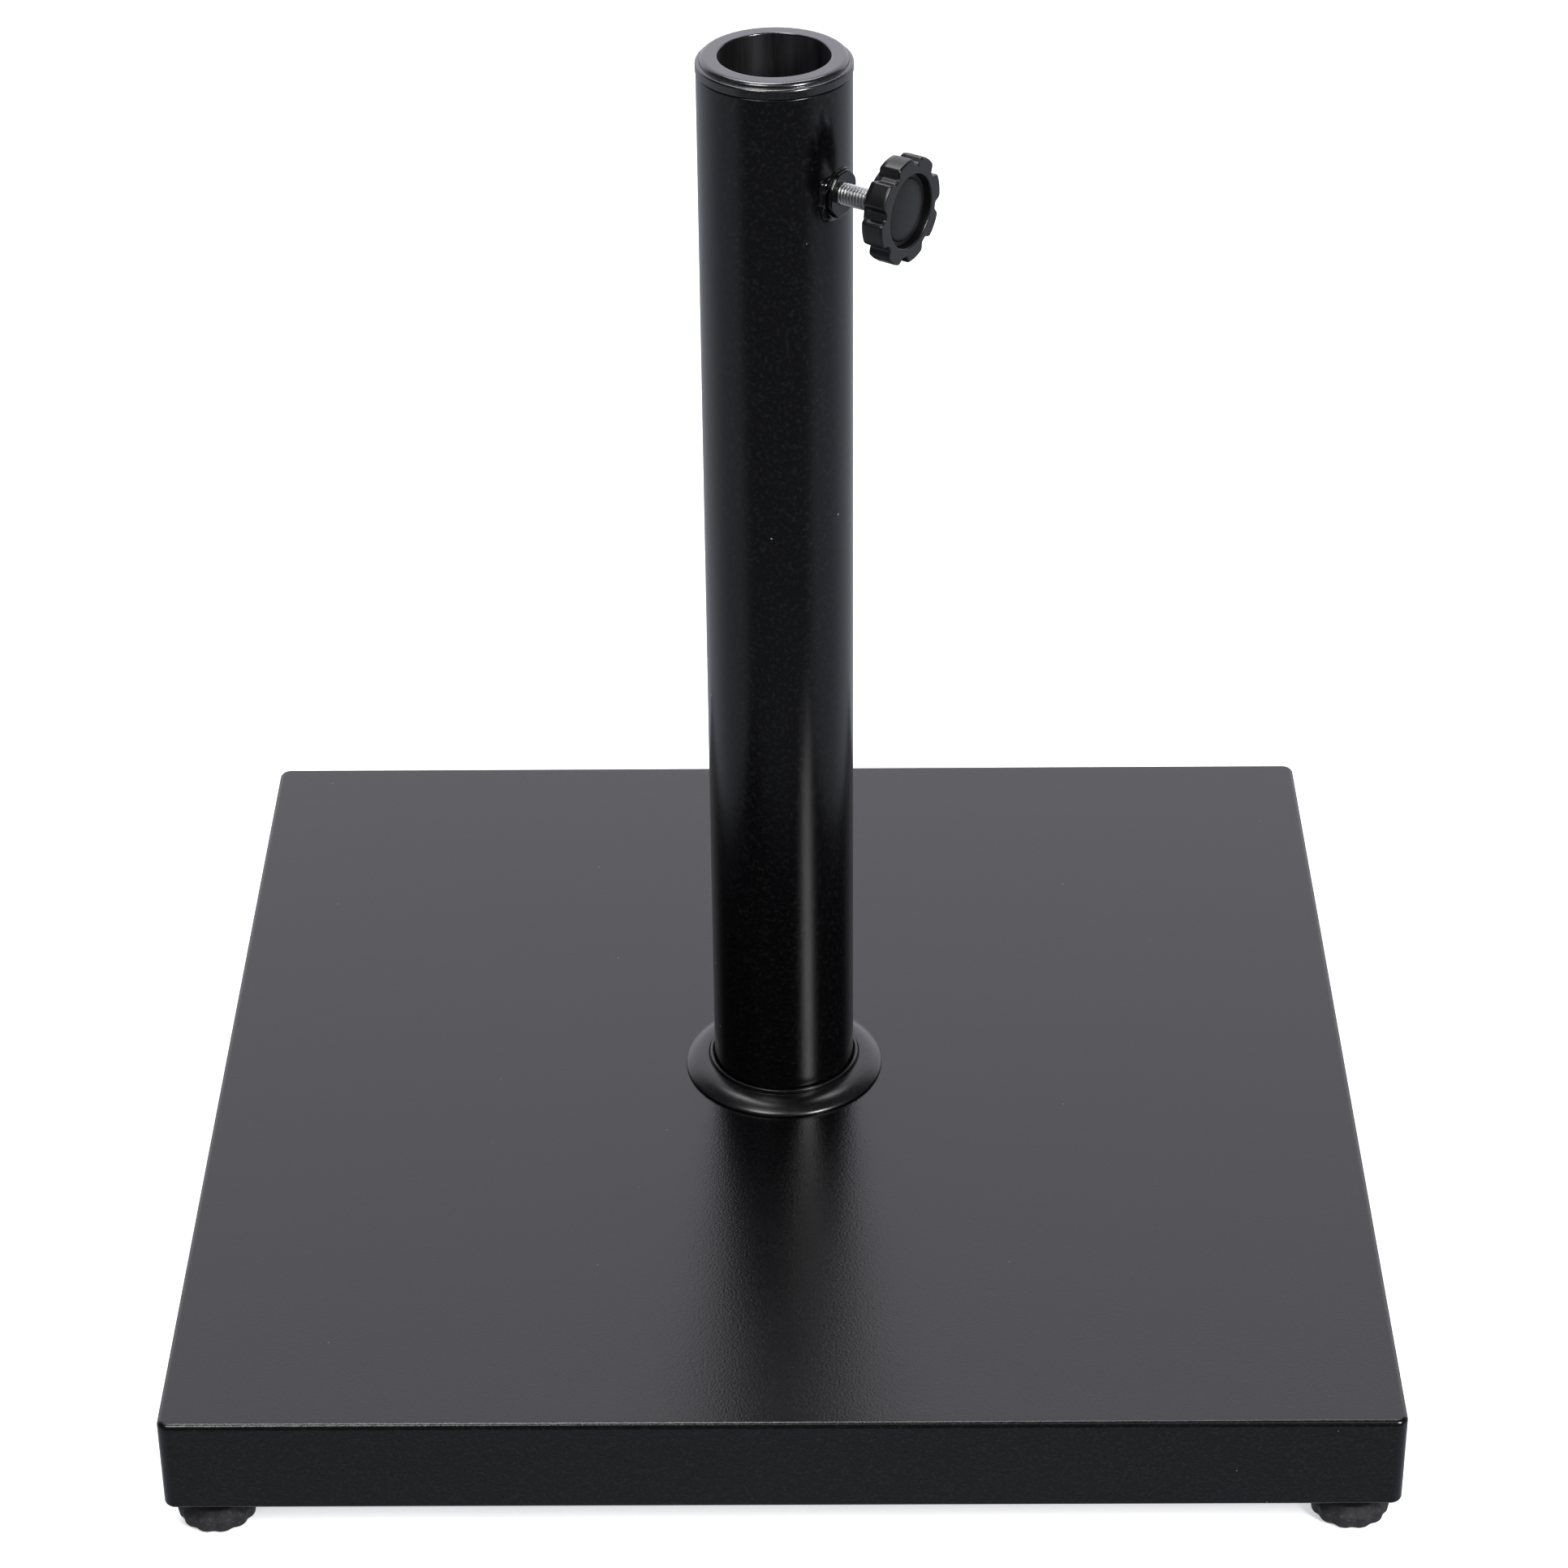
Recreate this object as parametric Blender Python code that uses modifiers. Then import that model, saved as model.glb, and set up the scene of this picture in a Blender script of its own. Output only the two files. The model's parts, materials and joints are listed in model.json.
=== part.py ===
"""Square parasol base: steel-clad concrete slab, clamp post, tightening knob and levelling feet.

Units are metres, +Z is up, and the origin is on the ground under the middle of the slab.
"""

import math

import bmesh
import bpy
from mathutils import Vector

mm = 0.001
GAP = 0.3 * mm  # between pieces that rest on each other

# Slab: a pressed steel shell round a concrete block, closed by a sheet underneath.
SLAB_WIDTH = 450 * mm
SHELL_HEIGHT = 38.5 * mm
SHELL_SHEET = 1.2 * mm
SHELL_CORNER = 4.5 * mm
SHELL_EDGE = 2 * mm
SHELL_FOLD = 1.5 * mm
LIP_WIDTH = 7.5 * mm
UNDERSIDE_SHEET = 1.0 * mm

# Feet: adjustable, one at each corner.
GROUND_CLEARANCE = 15 * mm
FOOT_INSET = 17 * mm
FOOT_RADIUS = 15 * mm
FOOT_BOTTOM = 0.8 * mm
FOOT_TOP = 9 * mm
FOOT_HUB_RADIUS = 6.5 * mm
FOOT_SCALLOPS = 12
FOOT_SCALLOP_DEPTH = 0.8 * mm
FOOT_HUB_TOP = 10.2 * mm
FOOT_STUD_TOP = 34 * mm
INSERT_TOP = 42 * mm
INSERT_RADIUS = 6.5 * mm

# Post: a steel tube, held by one bolt from underneath.
POST_RADIUS = 27.75 * mm
POST_WALL = 1.5 * mm
POST_INNER = POST_RADIUS - POST_WALL
OVERALL_HEIGHT = 485 * mm
POST_DISC_THICKNESS = 4 * mm
ANCHOR_NUT_HEIGHT = 8 * mm
POCKET_RADIUS = 20 * mm
POCKET_TOP = 30 * mm

# Pole bush: the plastic collar in the top of the post, for poles up to 38 mm.
BUSH_BORE = 20 * mm
BUSH_HEAD = 5.4 * mm
BUSH_HEAD_RADIUS = 28 * mm
BUSH_CROWN_RADIUS = 26.6 * mm
BUSH_SKIRT = 30 * mm
BUSH_SLEEVE = 22 * mm
BUSH_SKIRT_WALL = 1.8 * mm
BUSH_RIBS = 8

# Cover ring: the plastic trim at the foot of the post.
RING_RADIUS = 39.15 * mm
RING_BORE = 28.4 * mm

# Clamp: a stud with a lobed knob, in a nut welded to the post.
CLAMP_ANGLE = math.radians(-33.3)  # from +X, turned towards -Y
CLAMP_HEIGHT = 439 * mm
NUT_FACE = 29.1 * mm  # distances along the clamp are from the post's axis
NUT_FLANGE_RADIUS = 8.7 * mm
NUT_FLANGE = 2.2 * mm
NUT_BARREL_RADIUS = 6.2 * mm
NUT_END = 21 * mm
KNOB_BACK = 46.9 * mm
KNOB_FRONT = 57.1 * mm
KNOB_RADIUS = 19.5 * mm
KNOB_LOBES = 8
KNOB_NOTCH_DEPTH = 2.4 * mm
KNOB_NOTCH_ANGLE = math.radians(32)  # of the first notch, about the clamp's axis
KNOB_BACK_RADIUS = 17.4 * mm
KNOB_BACK_DISC = 1.6 * mm
RECESS_RADIUS = 13.4 * mm
RECESS_FLOOR = 53.4 * mm
COLLAR_SEAT = 49.3 * mm
STUD_TIP = 20.3 * mm

# M8 and M10 hardware, with threads drawn as plain cylinders.
M8_RADIUS = 4 * mm
M8_BORE = 4.15 * mm
COLLAR_RADIUS = 6.5 * mm
CLAMP_COLLAR = 4.9 * mm
FOOT_COLLAR = 4 * mm
M10_RADIUS = 5 * mm
M10_BORE = 5.2 * mm
M10_CLEARANCE = 5.6 * mm
M10_ACROSS = 17 * mm
M10_HEAD = 6.4 * mm
FIT = 0.3 * mm  # round a piece in its socket

# Heights that follow from the sizes above.
SHELL_BOTTOM = GROUND_CLEARANCE
SHELL_TOP = SHELL_BOTTOM + SHELL_HEIGHT
UNDERSIDE_BOTTOM = SHELL_BOTTOM + SHELL_SHEET + GAP
UNDERSIDE_TOP = UNDERSIDE_BOTTOM + UNDERSIDE_SHEET
BLOCK_BOTTOM = UNDERSIDE_TOP + GAP
BLOCK_TOP = SHELL_TOP - SHELL_SHEET - GAP
BLOCK_WIDTH = SLAB_WIDTH - 2 * (SHELL_SHEET + GAP)
BLOCK_CORNER = SHELL_CORNER - SHELL_SHEET - GAP
POST_BOTTOM = SHELL_TOP + GAP
DISC_TOP = POST_BOTTOM + POST_DISC_THICKNESS
BUSH_SHOULDER = OVERALL_HEIGHT - BUSH_HEAD
POST_TOP = BUSH_SHOULDER - GAP
FOOT_CENTRE = SLAB_WIDTH / 2 - FOOT_INSET

BIG_STEPS = 48  # sides of the post and what is round it
SMALL_STEPS = 32

FEET = {
    "front_left": (-1, -1),
    "front_right": (1, -1),
    "back_left": (-1, 1),
    "back_right": (1, 1),
}


# ---- scene ----


def clear_scene():
    for obj in list(bpy.data.objects):
        bpy.data.objects.remove(obj)


def new_collection(name):
    collection = bpy.data.collections.new(name)
    bpy.context.scene.collection.children.link(collection)
    return collection


def new_material(name, colour, roughness, metallic=0.0):
    material = bpy.data.materials.new(name)
    material.use_nodes = True
    shader = material.node_tree.nodes["Principled BSDF"]
    shader.inputs["Base Color"].default_value = (*colour, 1)
    shader.inputs["Roughness"].default_value = roughness
    shader.inputs["Metallic"].default_value = metallic
    return material


clear_scene()
parts = new_collection("parasol_base")
cutters = new_collection("cutters")

black_paint = new_material("black_paint", (0.010, 0.010, 0.012), 0.32)
black_plastic = new_material("black_plastic", (0.016, 0.016, 0.018), 0.38)
zinc_steel = new_material("zinc_steel", (0.62, 0.62, 0.60), 0.35, 1.0)
bare_steel = new_material("bare_steel", (0.36, 0.36, 0.37), 0.50, 1.0)
concrete = new_material("concrete", (0.42, 0.41, 0.39), 0.90)
rubber = new_material("rubber", (0.020, 0.020, 0.020), 0.75)


# ---- shapes ----


def add_empty(name, location=(0, 0, 0), rotation=(0, 0, 0)):
    empty = bpy.data.objects.new(name, None)
    parts.objects.link(empty)
    empty.location = location
    empty.rotation_euler = rotation
    return empty


def add_object(name, bm, material=None, parent=None, location=(0, 0, 0)):
    """Makes an object of a bmesh. Without a material it is a cutter."""
    mesh = bpy.data.meshes.new(name)
    bm.to_mesh(mesh)
    bm.free()
    obj = bpy.data.objects.new(name, mesh)
    obj.parent = parent
    obj.location = location
    if material is None:
        cutters.objects.link(obj)
        obj.hide_render = True
        obj.display_type = "WIRE"
    else:
        parts.objects.link(obj)
        mesh.materials.append(material)
        mesh.shade_smooth()
        mesh.set_sharp_from_angle(angle=math.radians(35))
    return obj


def turned(name, profile, steps, material=None, parent=None, location=(0, 0, 0), closed=True):
    """Turns a profile of (radius, height) about Z. It runs down its outer side."""
    bm = bmesh.new()
    verts = [bm.verts.new((radius, 0, height)) for radius, height in profile]
    for a, b in zip(verts, verts[1:]):
        bm.edges.new((a, b))
    if closed:
        bm.edges.new((verts[-1], verts[0]))
    obj = add_object(name, bm, material, parent, location)
    screw = obj.modifiers.new("turn", "SCREW")
    screw.axis = "Z"
    screw.steps = steps
    screw.render_steps = steps
    screw.use_merge_vertices = True
    screw.merge_threshold = 0.01 * mm
    screw.use_smooth_shade = True
    return obj


def cylinder_mesh(radius, bottom, top, steps):
    bm = bmesh.new()
    bmesh.ops.create_cone(
        bm, cap_ends=True, segments=steps, radius1=radius, radius2=radius, depth=top - bottom
    )
    bmesh.ops.translate(bm, verts=bm.verts, vec=(0, 0, (top + bottom) / 2))
    return bm


def hexagon_mesh(across, bottom, top):
    """A hexagonal prism, across its flats."""
    return cylinder_mesh(across / 2 / math.cos(math.pi / 6), bottom, top, 6)


def lobed_mesh(radius, depth, lobes, bottom, top, per_lobe, first_notch=0.0):
    """A cylinder with a rounded notch between every two lobes."""
    flat_bottom = 0.09  # half widths of a notch, as shares of the pitch
    shoulder = 0.27
    bm = cylinder_mesh(radius, bottom, top, lobes * per_lobe)
    for vert in bm.verts:
        angle = math.atan2(vert.co.y, vert.co.x)
        turn = (angle - first_notch) / (2 * math.pi) * lobes
        away = abs(turn - round(turn))
        slope = min(1, max(0, (away - flat_bottom) / (shoulder - flat_bottom)))
        notch = depth * (1 + math.cos(math.pi * slope)) / 2
        vert.co.x = (radius - notch) * math.cos(angle)
        vert.co.y = (radius - notch) * math.sin(angle)
    return bm


def rounded_block_mesh(width, bottom, top, corner, top_edge, bottom_edge):
    """A square block with round corners in plan and round upper and lower edges."""
    bm = bmesh.new()
    bmesh.ops.create_cube(bm, size=1)
    bmesh.ops.scale(bm, verts=bm.verts, vec=(width, width, top - bottom))
    bmesh.ops.translate(bm, verts=bm.verts, vec=(0, 0, (top + bottom) / 2))
    upright = [e for e in bm.edges if abs(e.verts[0].co.z - e.verts[1].co.z) > mm]
    bevel_edges(bm, upright, corner, 6)
    if top_edge:
        bevel_edges(bm, face_at(bm, top=True).edges, top_edge, 3)
    if bottom_edge:
        bevel_edges(bm, face_at(bm, top=False).edges, bottom_edge, 2)
    return bm


def bevel_edges(bm, edges, radius, segments):
    bmesh.ops.bevel(
        bm, geom=list(edges), offset=radius, segments=segments, profile=0.5, affect="EDGES"
    )


def face_at(bm, top):
    """The large flat face at the top or the bottom of a block."""
    heights = {face: face.calc_center_median().z for face in bm.faces}
    return (max if top else min)(heights, key=heights.get)


def cut(obj, *tools):
    for tool in tools:
        boolean = obj.modifiers.new(tool.name, "BOOLEAN")
        boolean.operation = "DIFFERENCE"
        boolean.object = tool


def join(obj, *tools):
    for tool in tools:
        boolean = obj.modifiers.new(tool.name, "BOOLEAN")
        boolean.operation = "UNION"
        boolean.object = tool


def round_rims(obj, width, segments):
    bevel = obj.modifiers.new("round_rims", "BEVEL")
    bevel.width = width
    bevel.segments = segments
    bevel.limit_method = "ANGLE"
    bevel.angle_limit = math.radians(50)


def cylinder_cutter(name, radius, bottom, top, steps=SMALL_STEPS, parent=None, location=(0, 0, 0)):
    return add_object(name, cylinder_mesh(radius, bottom, top, steps), None, parent, location)


def arc(centre, radius, start, end, count):
    """Points on an arc in a profile, from the start angle to the end angle in degrees."""
    angles = [math.radians(start + (end - start) * i / count) for i in range(count + 1)]
    return [(centre[0] + radius * math.cos(a), centre[1] + radius * math.sin(a)) for a in angles]


# ---- slab ----


def foot_places():
    for corner, (x, y) in FEET.items():
        yield corner, Vector((x * FOOT_CENTRE, y * FOOT_CENTRE, 0))


def make_base_shell():
    """The pressed sheet: a lid with deep sides and a lip folded in under the edge."""
    outside = rounded_block_mesh(
        SLAB_WIDTH, SHELL_BOTTOM, SHELL_TOP, SHELL_CORNER, SHELL_EDGE, SHELL_FOLD
    )
    inside = rounded_block_mesh(
        SLAB_WIDTH - 2 * SHELL_SHEET,
        SHELL_BOTTOM + SHELL_SHEET,
        SHELL_TOP - SHELL_SHEET,
        SHELL_CORNER - SHELL_SHEET,
        SHELL_EDGE - SHELL_SHEET,
        SHELL_FOLD - SHELL_SHEET,
    )
    below, through = SHELL_BOTTOM - 2 * mm, SHELL_BOTTOM + 4 * mm
    opening = rounded_block_mesh(SLAB_WIDTH - 2 * LIP_WIDTH, below, through, 1 * mm, 0, 0)
    shell = add_object("base_shell", outside, black_paint)
    cut(
        shell,
        add_object("shell_inside", inside),
        add_object("shell_opening", opening),
        cylinder_cutter("shell_bolt_hole", M10_CLEARANCE, BLOCK_TOP - 2 * mm, SHELL_TOP + 2 * mm),
    )


def make_ballast_block():
    """The concrete, with a pocket for the bolt's head and a seat for each foot insert."""
    edge = SHELL_EDGE - SHELL_SHEET
    bm = rounded_block_mesh(BLOCK_WIDTH, BLOCK_BOTTOM, BLOCK_TOP, BLOCK_CORNER, edge, 0)
    block = add_object("ballast_block", bm, concrete)
    below = BLOCK_BOTTOM - 5 * mm
    cut(
        block,
        cylinder_cutter("block_pocket", POCKET_RADIUS, below, POCKET_TOP),
        cylinder_cutter("block_sleeve_hole", 8.3 * mm, below, BLOCK_TOP + 5 * mm),
    )
    for corner, place in foot_places():
        name = "block_insert_" + corner
        radius = INSERT_RADIUS + FIT
        cut(block, cylinder_cutter(name, radius, below, INSERT_TOP + GAP, location=place))


def make_underside_sheet():
    width = BLOCK_WIDTH - 7 * mm
    bm = rounded_block_mesh(width, UNDERSIDE_BOTTOM, UNDERSIDE_TOP, BLOCK_CORNER, 0, 0)
    sheet = add_object("underside_sheet", bm, bare_steel)
    low, high = UNDERSIDE_BOTTOM - 2 * mm, UNDERSIDE_TOP + 2 * mm
    cut(sheet, cylinder_cutter("sheet_pocket_hole", POCKET_RADIUS, low, high))
    for corner, place in foot_places():
        cut(sheet, cylinder_cutter("sheet_hole_" + corner, 5 * mm, low, high, location=place))


def washer(name, inner, outer, bottom, top, material):
    profile = [(outer, top), (outer, bottom), (inner, bottom), (inner, top)]
    return turned(name, profile, SMALL_STEPS, material)


def make_centre_fixing():
    """The bolt that holds the post down, with its washers and the sleeve through the concrete."""
    head_bottom = 18 * mm
    head_top = head_bottom + M10_HEAD
    spring_top = head_top + GAP + 2.2 * mm
    plain_bottom = spring_top + GAP
    plain_top = plain_bottom + 2.5 * mm
    bolt = add_object("centre_bolt", hexagon_mesh(M10_ACROSS, head_bottom, head_top), zinc_steel)
    shank_top = DISC_TOP + GAP + ANCHOR_NUT_HEIGHT + 2 * mm
    join(bolt, cylinder_cutter("centre_bolt_shank", M10_RADIUS, head_top - mm, shank_top))
    washer("centre_spring_washer", M10_BORE, 9 * mm, head_top + GAP, spring_top, zinc_steel)
    washer("centre_plain_washer", M10_BORE, 15 * mm, plain_bottom, plain_top, zinc_steel)
    washer("centre_sleeve", M10_CLEARANCE, 8 * mm, POCKET_TOP, BLOCK_TOP, bare_steel)


# ---- feet ----


def make_stud(name, axis, collar, tip):
    """An M8 stud with the round collar that holds it in its knob or foot."""
    low, high = collar
    stud = add_object(name, cylinder_mesh(COLLAR_RADIUS, low, high, SMALL_STEPS), zinc_steel, axis)
    chamfer = 0.8 * mm
    middle = (low + high) / 2
    end = tip - math.copysign(chamfer, tip - middle)
    profile = [(0, middle), (M8_RADIUS, middle), (M8_RADIUS, end), (M8_RADIUS - chamfer, tip), (0, tip)]
    if tip > middle:
        profile.reverse()
    join(stud, turned(name + "_shank", profile, 24, parent=axis, closed=False))


def make_foot(corner, place):
    """A scalloped foot on a stud, its sole, and the insert that the stud turns in."""
    axis = add_empty("foot_axis_" + corner, place)
    foot = add_object(
        "foot_knob_" + corner,
        lobed_mesh(FOOT_RADIUS, FOOT_SCALLOP_DEPTH, FOOT_SCALLOPS, FOOT_BOTTOM, FOOT_TOP, 4),
        black_plastic,
        axis,
    )
    round_rims(foot, 0.8 * mm, 1)
    sole_seat = FOOT_BOTTOM + 1.1 * mm
    collar_bottom = sole_seat + GAP
    collar_top = collar_bottom + FOOT_COLLAR
    hub = cylinder_cutter(
        "foot_hub_" + corner, FOOT_HUB_RADIUS, FOOT_TOP - mm, FOOT_HUB_TOP, parent=axis
    )
    recess = cylinder_cutter("foot_recess_" + corner, 12.6 * mm, -mm, sole_seat, parent=axis)
    socket = cylinder_cutter(
        "foot_socket_" + corner,
        COLLAR_RADIUS + FIT,
        sole_seat - mm,
        collar_top + GAP,
        parent=axis,
    )
    bore = cylinder_cutter(
        "foot_bore_" + corner, M8_RADIUS + FIT, collar_top - mm, FOOT_HUB_TOP + mm, parent=axis
    )
    join(foot, hub)
    cut(foot, recess, socket, bore)
    make_stud("foot_stud_" + corner, axis, (collar_bottom, collar_top), FOOT_STUD_TOP)

    sole_profile = [
        (0, sole_seat - GAP),
        (12.2 * mm, sole_seat - GAP),
        (12.2 * mm, 0.4 * mm),
        (11.8 * mm, 0),
        (0, 0),
    ]
    turned("foot_sole_" + corner, sole_profile, SMALL_STEPS, rubber, axis, closed=False)

    bore_top = INSERT_TOP - 2 * mm
    insert_profile = [
        (0, INSERT_TOP),
        (INSERT_RADIUS, INSERT_TOP),
        (INSERT_RADIUS, BLOCK_BOTTOM),
        (M8_BORE, BLOCK_BOTTOM),
        (M8_BORE, bore_top),
        (0, bore_top),
    ]
    turned("foot_insert_" + corner, insert_profile, SMALL_STEPS, bare_steel, axis, closed=False)


# ---- post ----


def make_post(clamp_axis):
    profile = [
        (POST_RADIUS, POST_TOP),
        (POST_RADIUS, POST_BOTTOM),
        (POST_INNER, POST_BOTTOM),
        (POST_INNER, POST_TOP),
    ]
    post = turned("post_tube", profile, BIG_STEPS, black_paint)
    hole = cylinder_cutter(
        "post_nut_hole", NUT_BARREL_RADIUS + FIT, 10 * mm, 40 * mm, parent=clamp_axis
    )
    cut(post, hole)
    disc_profile = [
        (POST_INNER - GAP, DISC_TOP),
        (POST_INNER - GAP, POST_BOTTOM),
        (M10_CLEARANCE, POST_BOTTOM),
        (M10_CLEARANCE, DISC_TOP),
    ]
    turned("post_foot_disc", disc_profile, BIG_STEPS, bare_steel)
    nut_bottom = DISC_TOP + GAP
    nut_top = nut_bottom + ANCHOR_NUT_HEIGHT
    nut = add_object("post_anchor_nut", hexagon_mesh(M10_ACROSS, nut_bottom, nut_top), zinc_steel)
    cut(nut, cylinder_cutter("anchor_nut_bore", M10_BORE, nut_bottom - mm, nut_top + mm))


def make_cover_ring():
    """The trim at the foot of the post: a raised lip, and a crown that falls to the rim."""
    seat = SHELL_TOP + GAP
    lip = RING_BORE + 1.1 * mm
    crown_start = RING_BORE + 1.8 * mm
    crown_width = RING_RADIUS - crown_start
    crown = [
        (crown_start + crown_width * i / 8, seat + 0.8 * mm + 3.4 * mm * (1 - (i / 8) ** 2.2))
        for i in range(9)
    ]
    profile = [
        (RING_BORE + 0.3 * mm, seat + 5.7 * mm),
        (lip - 0.3 * mm, seat + 5.6 * mm),
        (lip, seat + 5.2 * mm),
        (lip, seat + 3.8 * mm),
        *crown,
        (RING_RADIUS, seat),
        (RING_RADIUS - 1.4 * mm, seat),
        (RING_RADIUS - 4.4 * mm, seat + 1.6 * mm),
        (RING_BORE + 3.4 * mm, seat + 2.6 * mm),
        (RING_BORE + 1.4 * mm, seat + 2.6 * mm),
        (RING_BORE + 1.4 * mm, seat),
        (RING_BORE, seat),
        (RING_BORE, seat + 5.4 * mm),
    ]
    turned("cover_ring", profile, BIG_STEPS, black_plastic)


def make_pole_bush():
    """The collar: a stepped head, an inner sleeve and an outer skirt joined by ribs."""
    top = OVERALL_HEIGHT
    skirt_bottom = BUSH_SHOULDER - BUSH_SKIRT
    skirt_outer = POST_INNER - 0.25 * mm
    skirt_inner = skirt_outer - BUSH_SKIRT_WALL
    web = BUSH_SHOULDER - 1 * mm
    crown = arc((BUSH_CROWN_RADIUS - 1.5 * mm, top - 1.5 * mm), 1.5 * mm, 90, 0, 4)
    collar = arc((BUSH_HEAD_RADIUS - 0.8 * mm, top - 2.5 * mm), 0.8 * mm, 90, 0, 3)
    profile = [
        (BUSH_BORE + 0.6 * mm, top),
        *crown,
        (BUSH_CROWN_RADIUS, top - 1.7 * mm),
        *collar,
        (BUSH_HEAD_RADIUS, BUSH_SHOULDER + 0.3 * mm),
        (BUSH_HEAD_RADIUS - 0.3 * mm, BUSH_SHOULDER),
        (skirt_outer, BUSH_SHOULDER),
        (skirt_outer, skirt_bottom + 1 * mm),
        (skirt_outer - 0.6 * mm, skirt_bottom),
        (skirt_inner, skirt_bottom),
        (skirt_inner, web),
        (BUSH_SLEEVE, web),
        (BUSH_SLEEVE, skirt_bottom),
        (BUSH_BORE, skirt_bottom),
        (BUSH_BORE, top - 0.6 * mm),
    ]
    bush = turned("pole_bush", profile, BIG_STEPS, black_plastic)
    rib_thickness = 1.6 * mm
    rib_bottom = skirt_bottom + 3 * mm
    rib_start = BUSH_SLEEVE - 0.8 * mm
    rib_end = skirt_inner + 0.8 * mm
    for i in range(BUSH_RIBS):
        bm = bmesh.new()
        bmesh.ops.create_cube(bm, size=1)
        size = (rib_end - rib_start, rib_thickness, web + 0.4 * mm - rib_bottom)
        bmesh.ops.scale(bm, verts=bm.verts, vec=size)
        middle = ((rib_end + rib_start) / 2, 0, (web + 0.4 * mm + rib_bottom) / 2)
        bmesh.ops.translate(bm, verts=bm.verts, vec=middle)
        rib = add_object(f"bush_rib_{i + 1}", bm)
        rib.rotation_euler.z = 2 * math.pi * (i + 0.5) / BUSH_RIBS
        join(bush, rib)


# ---- clamp ----


def make_clamp_nut(clamp_axis):
    """The flanged nut through the post's wall, and the weld round it."""
    flange_back = NUT_FACE - NUT_FLANGE
    profile = [
        (NUT_FLANGE_RADIUS - 0.6 * mm, NUT_FACE),
        (NUT_FLANGE_RADIUS, NUT_FACE - 0.6 * mm),
        (NUT_FLANGE_RADIUS, flange_back + 1.6 * mm),
        (NUT_BARREL_RADIUS, flange_back + 1.6 * mm),
        (NUT_BARREL_RADIUS, NUT_END),
        (M8_BORE, NUT_END),
        (M8_BORE, NUT_FACE),
    ]
    turned("clamp_nut", profile, SMALL_STEPS, black_paint, clamp_axis)
    major, minor, depth = 10.3 * mm, 2.1 * mm, 27.3 * mm
    circle = arc((major, depth), minor, 360, 30, 11)
    weld = turned("clamp_nut_weld", circle, SMALL_STEPS, black_paint, clamp_axis)
    post_cutter = cylinder_cutter(
        "weld_post_cutter", POST_RADIUS + GAP, CLAMP_HEIGHT - 30 * mm, CLAMP_HEIGHT + 30 * mm, 128
    )
    flange_cutter = cylinder_cutter(
        "weld_flange_cutter",
        NUT_FLANGE_RADIUS + GAP,
        depth - 5 * mm,
        depth + 5 * mm,
        parent=clamp_axis,
    )
    cut(weld, post_cutter, flange_cutter)


def make_clamp_screw(clamp_axis):
    """The knob, the stud held in it, and the cap over the stud's collar."""
    knob = add_object(
        "clamp_knob",
        lobed_mesh(
            KNOB_RADIUS,
            KNOB_NOTCH_DEPTH,
            KNOB_LOBES,
            KNOB_BACK + KNOB_BACK_DISC,
            KNOB_FRONT,
            10,
            KNOB_NOTCH_ANGLE,
        ),
        black_plastic,
        clamp_axis,
    )
    round_rims(knob, 0.8 * mm, 2)
    back_disc = cylinder_cutter(
        "knob_back_disc", KNOB_BACK_RADIUS, KNOB_BACK, KNOB_FRONT - 4 * mm, 64, parent=clamp_axis
    )
    join(knob, back_disc)
    collar_top = COLLAR_SEAT + CLAMP_COLLAR
    recess = cylinder_cutter(
        "knob_recess", RECESS_RADIUS, RECESS_FLOOR, KNOB_FRONT + 2 * mm, 48, parent=clamp_axis
    )
    socket = cylinder_cutter(
        "knob_socket", COLLAR_RADIUS + FIT, COLLAR_SEAT - GAP, RECESS_FLOOR + mm, parent=clamp_axis
    )
    bore = cylinder_cutter(
        "knob_bore", M8_RADIUS + FIT, KNOB_BACK - mm, COLLAR_SEAT + mm, parent=clamp_axis
    )
    cut(knob, recess, socket, bore)
    make_stud("clamp_stud", clamp_axis, (COLLAR_SEAT, collar_top), STUD_TIP)

    rim_bottom = RECESS_FLOOR + GAP
    groove = rim_bottom + 0.7 * mm
    dome_edge = 11.5 * mm
    dome = [
        (dome_edge * math.cos(a), groove + 0.7 * mm + 1.1 * mm * math.sin(a))
        for a in (math.radians(90 - 18 * i) for i in range(6))
    ]
    cap_profile = [
        *dome,
        (dome_edge + 0.1 * mm, groove),
        (13.1 * mm, groove),
        (13.1 * mm, rim_bottom),
        (9 * mm, rim_bottom),
        (9 * mm, collar_top + 0.4 * mm),
        (0, collar_top + 0.5 * mm),
    ]
    turned("clamp_knob_cap", cap_profile, SMALL_STEPS, black_plastic, clamp_axis, closed=False)


def main():
    make_base_shell()
    make_ballast_block()
    make_underside_sheet()
    make_centre_fixing()
    for corner, place in foot_places():
        make_foot(corner, place)
    clamp_axis = add_empty("clamp_axis", (0, 0, CLAMP_HEIGHT), (0, math.pi / 2, CLAMP_ANGLE))
    make_post(clamp_axis)
    make_cover_ring()
    make_pole_bush()
    make_clamp_nut(clamp_axis)
    make_clamp_screw(clamp_axis)


main()
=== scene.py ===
import json
import math

import bmesh
import bpy
from mathutils import Matrix, Vector, noise


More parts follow.
